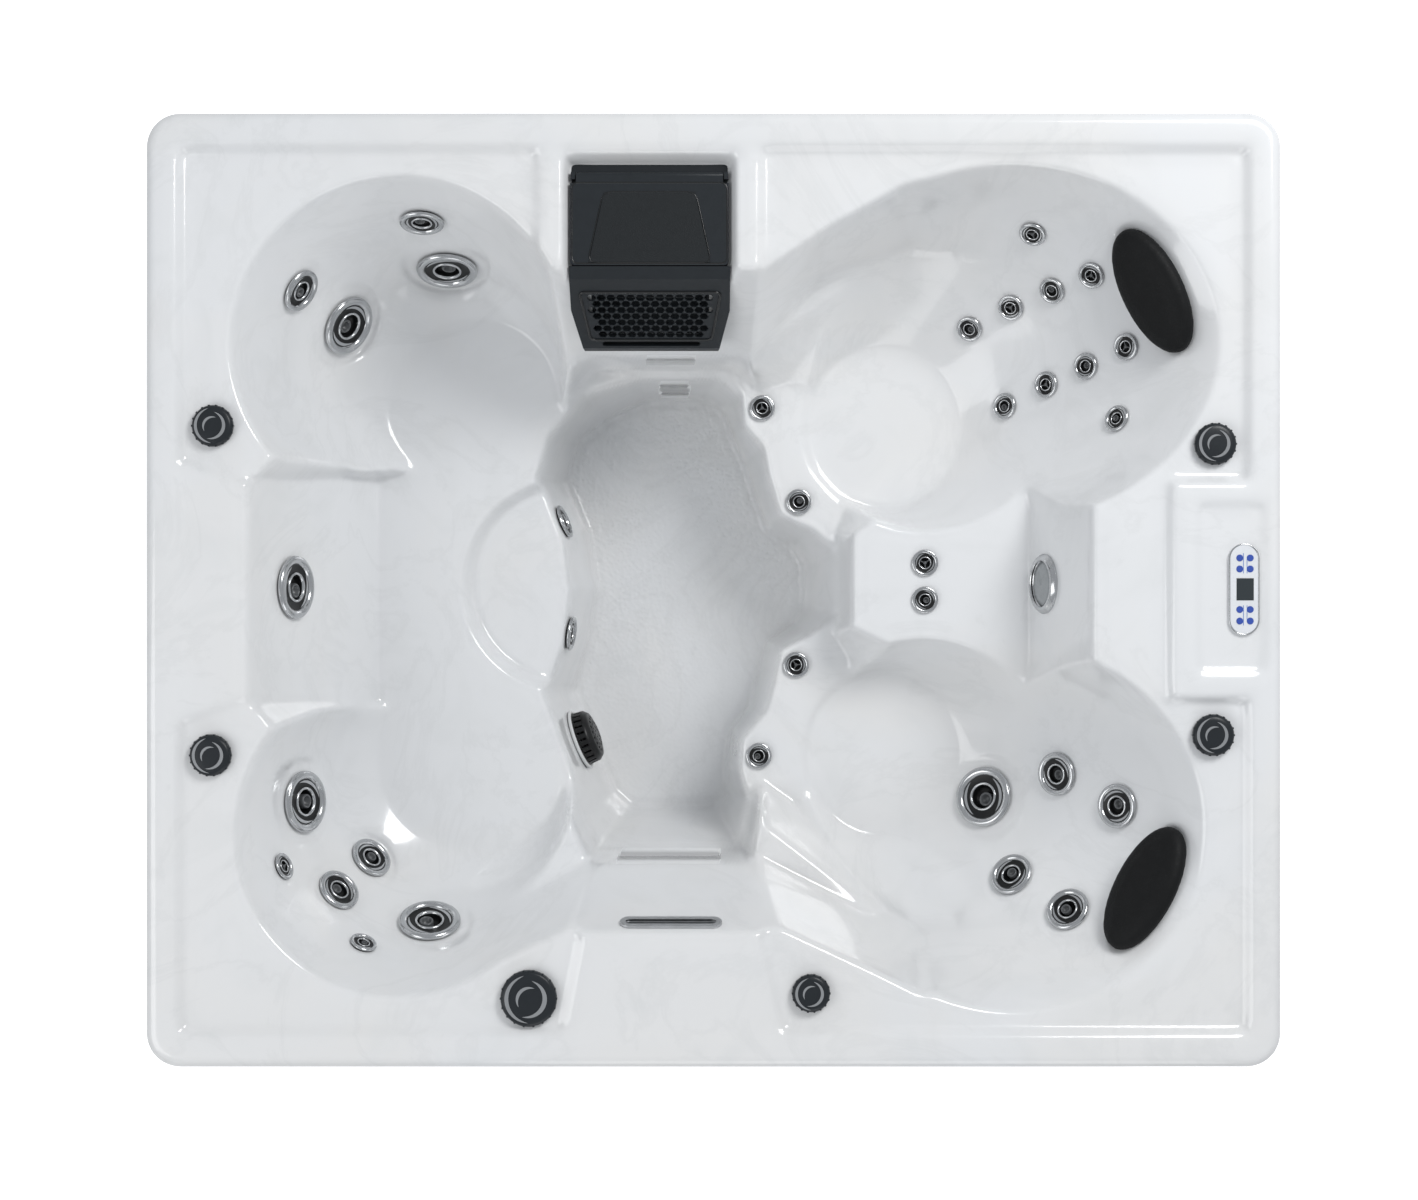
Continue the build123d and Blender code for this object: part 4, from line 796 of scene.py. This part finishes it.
def make_trim():
    """Panel rim and lines, suction gasket, light ring and the skimmer's raised and glossy details, with a
    dark line painted as the shade in the lid's outline groove.
    """
    x, y, low = panel_place
    top = low + 0.006
    rim = [(x + px, y + py, top - 0.0004) for px, py in stadium(0.1745, 0.0565)]
    tube("panel_rim", rim, 0.0016, True, steel)
    for index, shift in enumerate((0.0015, 0.0085)):
        side = 0.063 if index else 0.070
        for low_y, high_y in ((-side, -0.031), (0.031, side)):
            line = [(x + shift - 0.003, y + end, top + 0.0001) for end in (low_y, high_y)]
            tube("panel_line_%d_%d" % (index, low_y > 0), line, 0.0006, False, line_blue)
    mesh = bmesh.new()
    band(mesh, place_on(*suction_place), [(0.0635, 0.0), (0.0665, 0.0015), (0.0668, 0.005),
                                          (0.0650, 0.0072), (0.0620, 0.0075), (0.0600, 0.006)], 0)
    new_piece("suction_gasket", mesh, (gasket_white,), "tub")
    mesh = bmesh.new()
    band(mesh, place_on(*light_place), [(0.0462, 0.0100), (0.0475, 0.0122), (0.0505, 0.0130),
                                        (0.0540, 0.0118), (0.0565, 0.0092)], 0)
    new_piece("light_ring", mesh, (steel,), "tub")
    mesh = bmesh.new()
    corners = [(-0.089, 0.774), (0.089, 0.774), (0.119, 0.637), (-0.119, 0.637)]
    lower = [mesh.verts.new((skimmer_x + px, py, 0.8715)) for px, py in corners]
    upper = [mesh.verts.new((skimmer_x + px * 0.99, py, 0.8731)) for px, py in corners]
    mesh.faces.new(upper)
    for i in range(4):
        mesh.faces.new((lower[i], lower[(i + 1) % 4], upper[(i + 1) % 4], upper[i]))
    new_piece("skimmer_lid_grip", mesh, (charcoal_rough,), "skimmer_lid_body")
    # Gloss black line round the lid's grip: painted shade standing in for the outline groove
    line = [(skimmer_x + px * 1.01, py, 0.8725) for px, py in softened(corners, 0.018)]
    tube("skimmer_lid_groove_shade", line, 0.0013, True, gloss_black, "skimmer_lid_body")
    corners = [(-0.151, 0.792), (0.151, 0.792), (0.151, 0.635), (-0.151, 0.635)]
    line = [(skimmer_x + px, py, 0.8706) for px, py in softened(corners, 0.014)]
    tube("skimmer_lid_edge", line, 0.0022, True, gloss_black, "skimmer_lid_body")
    middle = Vector((skimmer_x, 0.5465, 0.787))
    up = Vector((0, 0.6318, 0.7752))
    out = Vector((0, -0.7752, 0.6318))
    corners = [(-0.139, 0.060), (0.139, 0.060), (0.121, -0.070), (-0.121, -0.070)]
    line = [middle + Vector((u, 0, 0)) + up * v + out * 0.0008 for u, v in softened(corners, 0.012)]
    tube("skimmer_grille_frame", line, 0.0028, True, gloss_black)


# Floor, light and camera
def make_stage():
    material, tree, principled = shader("floor_white")
    tone = spread(tree, noise(tree, 3.0), 0.3, 0.7, 0.0, 1.0)
    color = blend_colors(tree, tone, (0.86, 0.86, 0.86), (0.88, 0.88, 0.88))
    tree.links.new(color, principled.inputs["Base Color"])
    principled.inputs["Roughness"].default_value = 0.9
    principled.inputs["Specular IOR Level"].default_value = 0.1
    path = tree.nodes.new("ShaderNodeLightPath")
    glow = tree.nodes.new("ShaderNodeMath")
    glow.operation = "MULTIPLY"
    glow.inputs[1].default_value = 0.75
    tree.links.new(path.outputs["Is Camera Ray"], glow.inputs[0])
    tree.links.new(glow.outputs[0], principled.inputs["Emission Strength"])
    principled.inputs["Emission Color"].default_value = (1.0, 1.0, 1.0, 1.0)
    mesh = bmesh.new()
    bmesh.ops.create_grid(mesh, x_segments=1, y_segments=1, size=floor_half)
    data = bpy.data.meshes.new("floor")
    mesh.to_mesh(data)
    mesh.free()
    data.materials.append(material)
    linked("floor", data)
    world = bpy.data.worlds.new("studio")
    world.use_nodes = True
    background = world.node_tree.nodes["Background"]
    background.inputs["Color"].default_value = (0.93, 0.96, 1.0, 1.0)
    background.inputs["Strength"].default_value = world_strength
    bpy.context.scene.world = world
    for name, place, size, power in lamps:
        lamp = bpy.data.lights.new(name, "AREA")
        lamp.size = size
        lamp.energy = power
        obj = linked(name, lamp)
        obj.location = place
        toward = Vector(lamp_target) - Vector(place)
        obj.rotation_euler = toward.to_track_quat("-Z", "Y").to_euler()
    camera = bpy.data.cameras.new("camera")
    camera.lens = camera_lens
    camera.sensor_width = camera_sensor
    obj = linked("camera", camera)
    obj.location = camera_place
    bpy.context.scene.camera = obj
    bpy.context.scene.view_settings.view_transform = "Standard"


finish_nodes()
jet_list = jet_pads()
make_jets(jet_list)
make_knobs()
make_shell(jet_list)
for pillow in ("pillow_upper", "pillow_lower"):
    make_pillow(pillow)
make_trim()
make_stage()
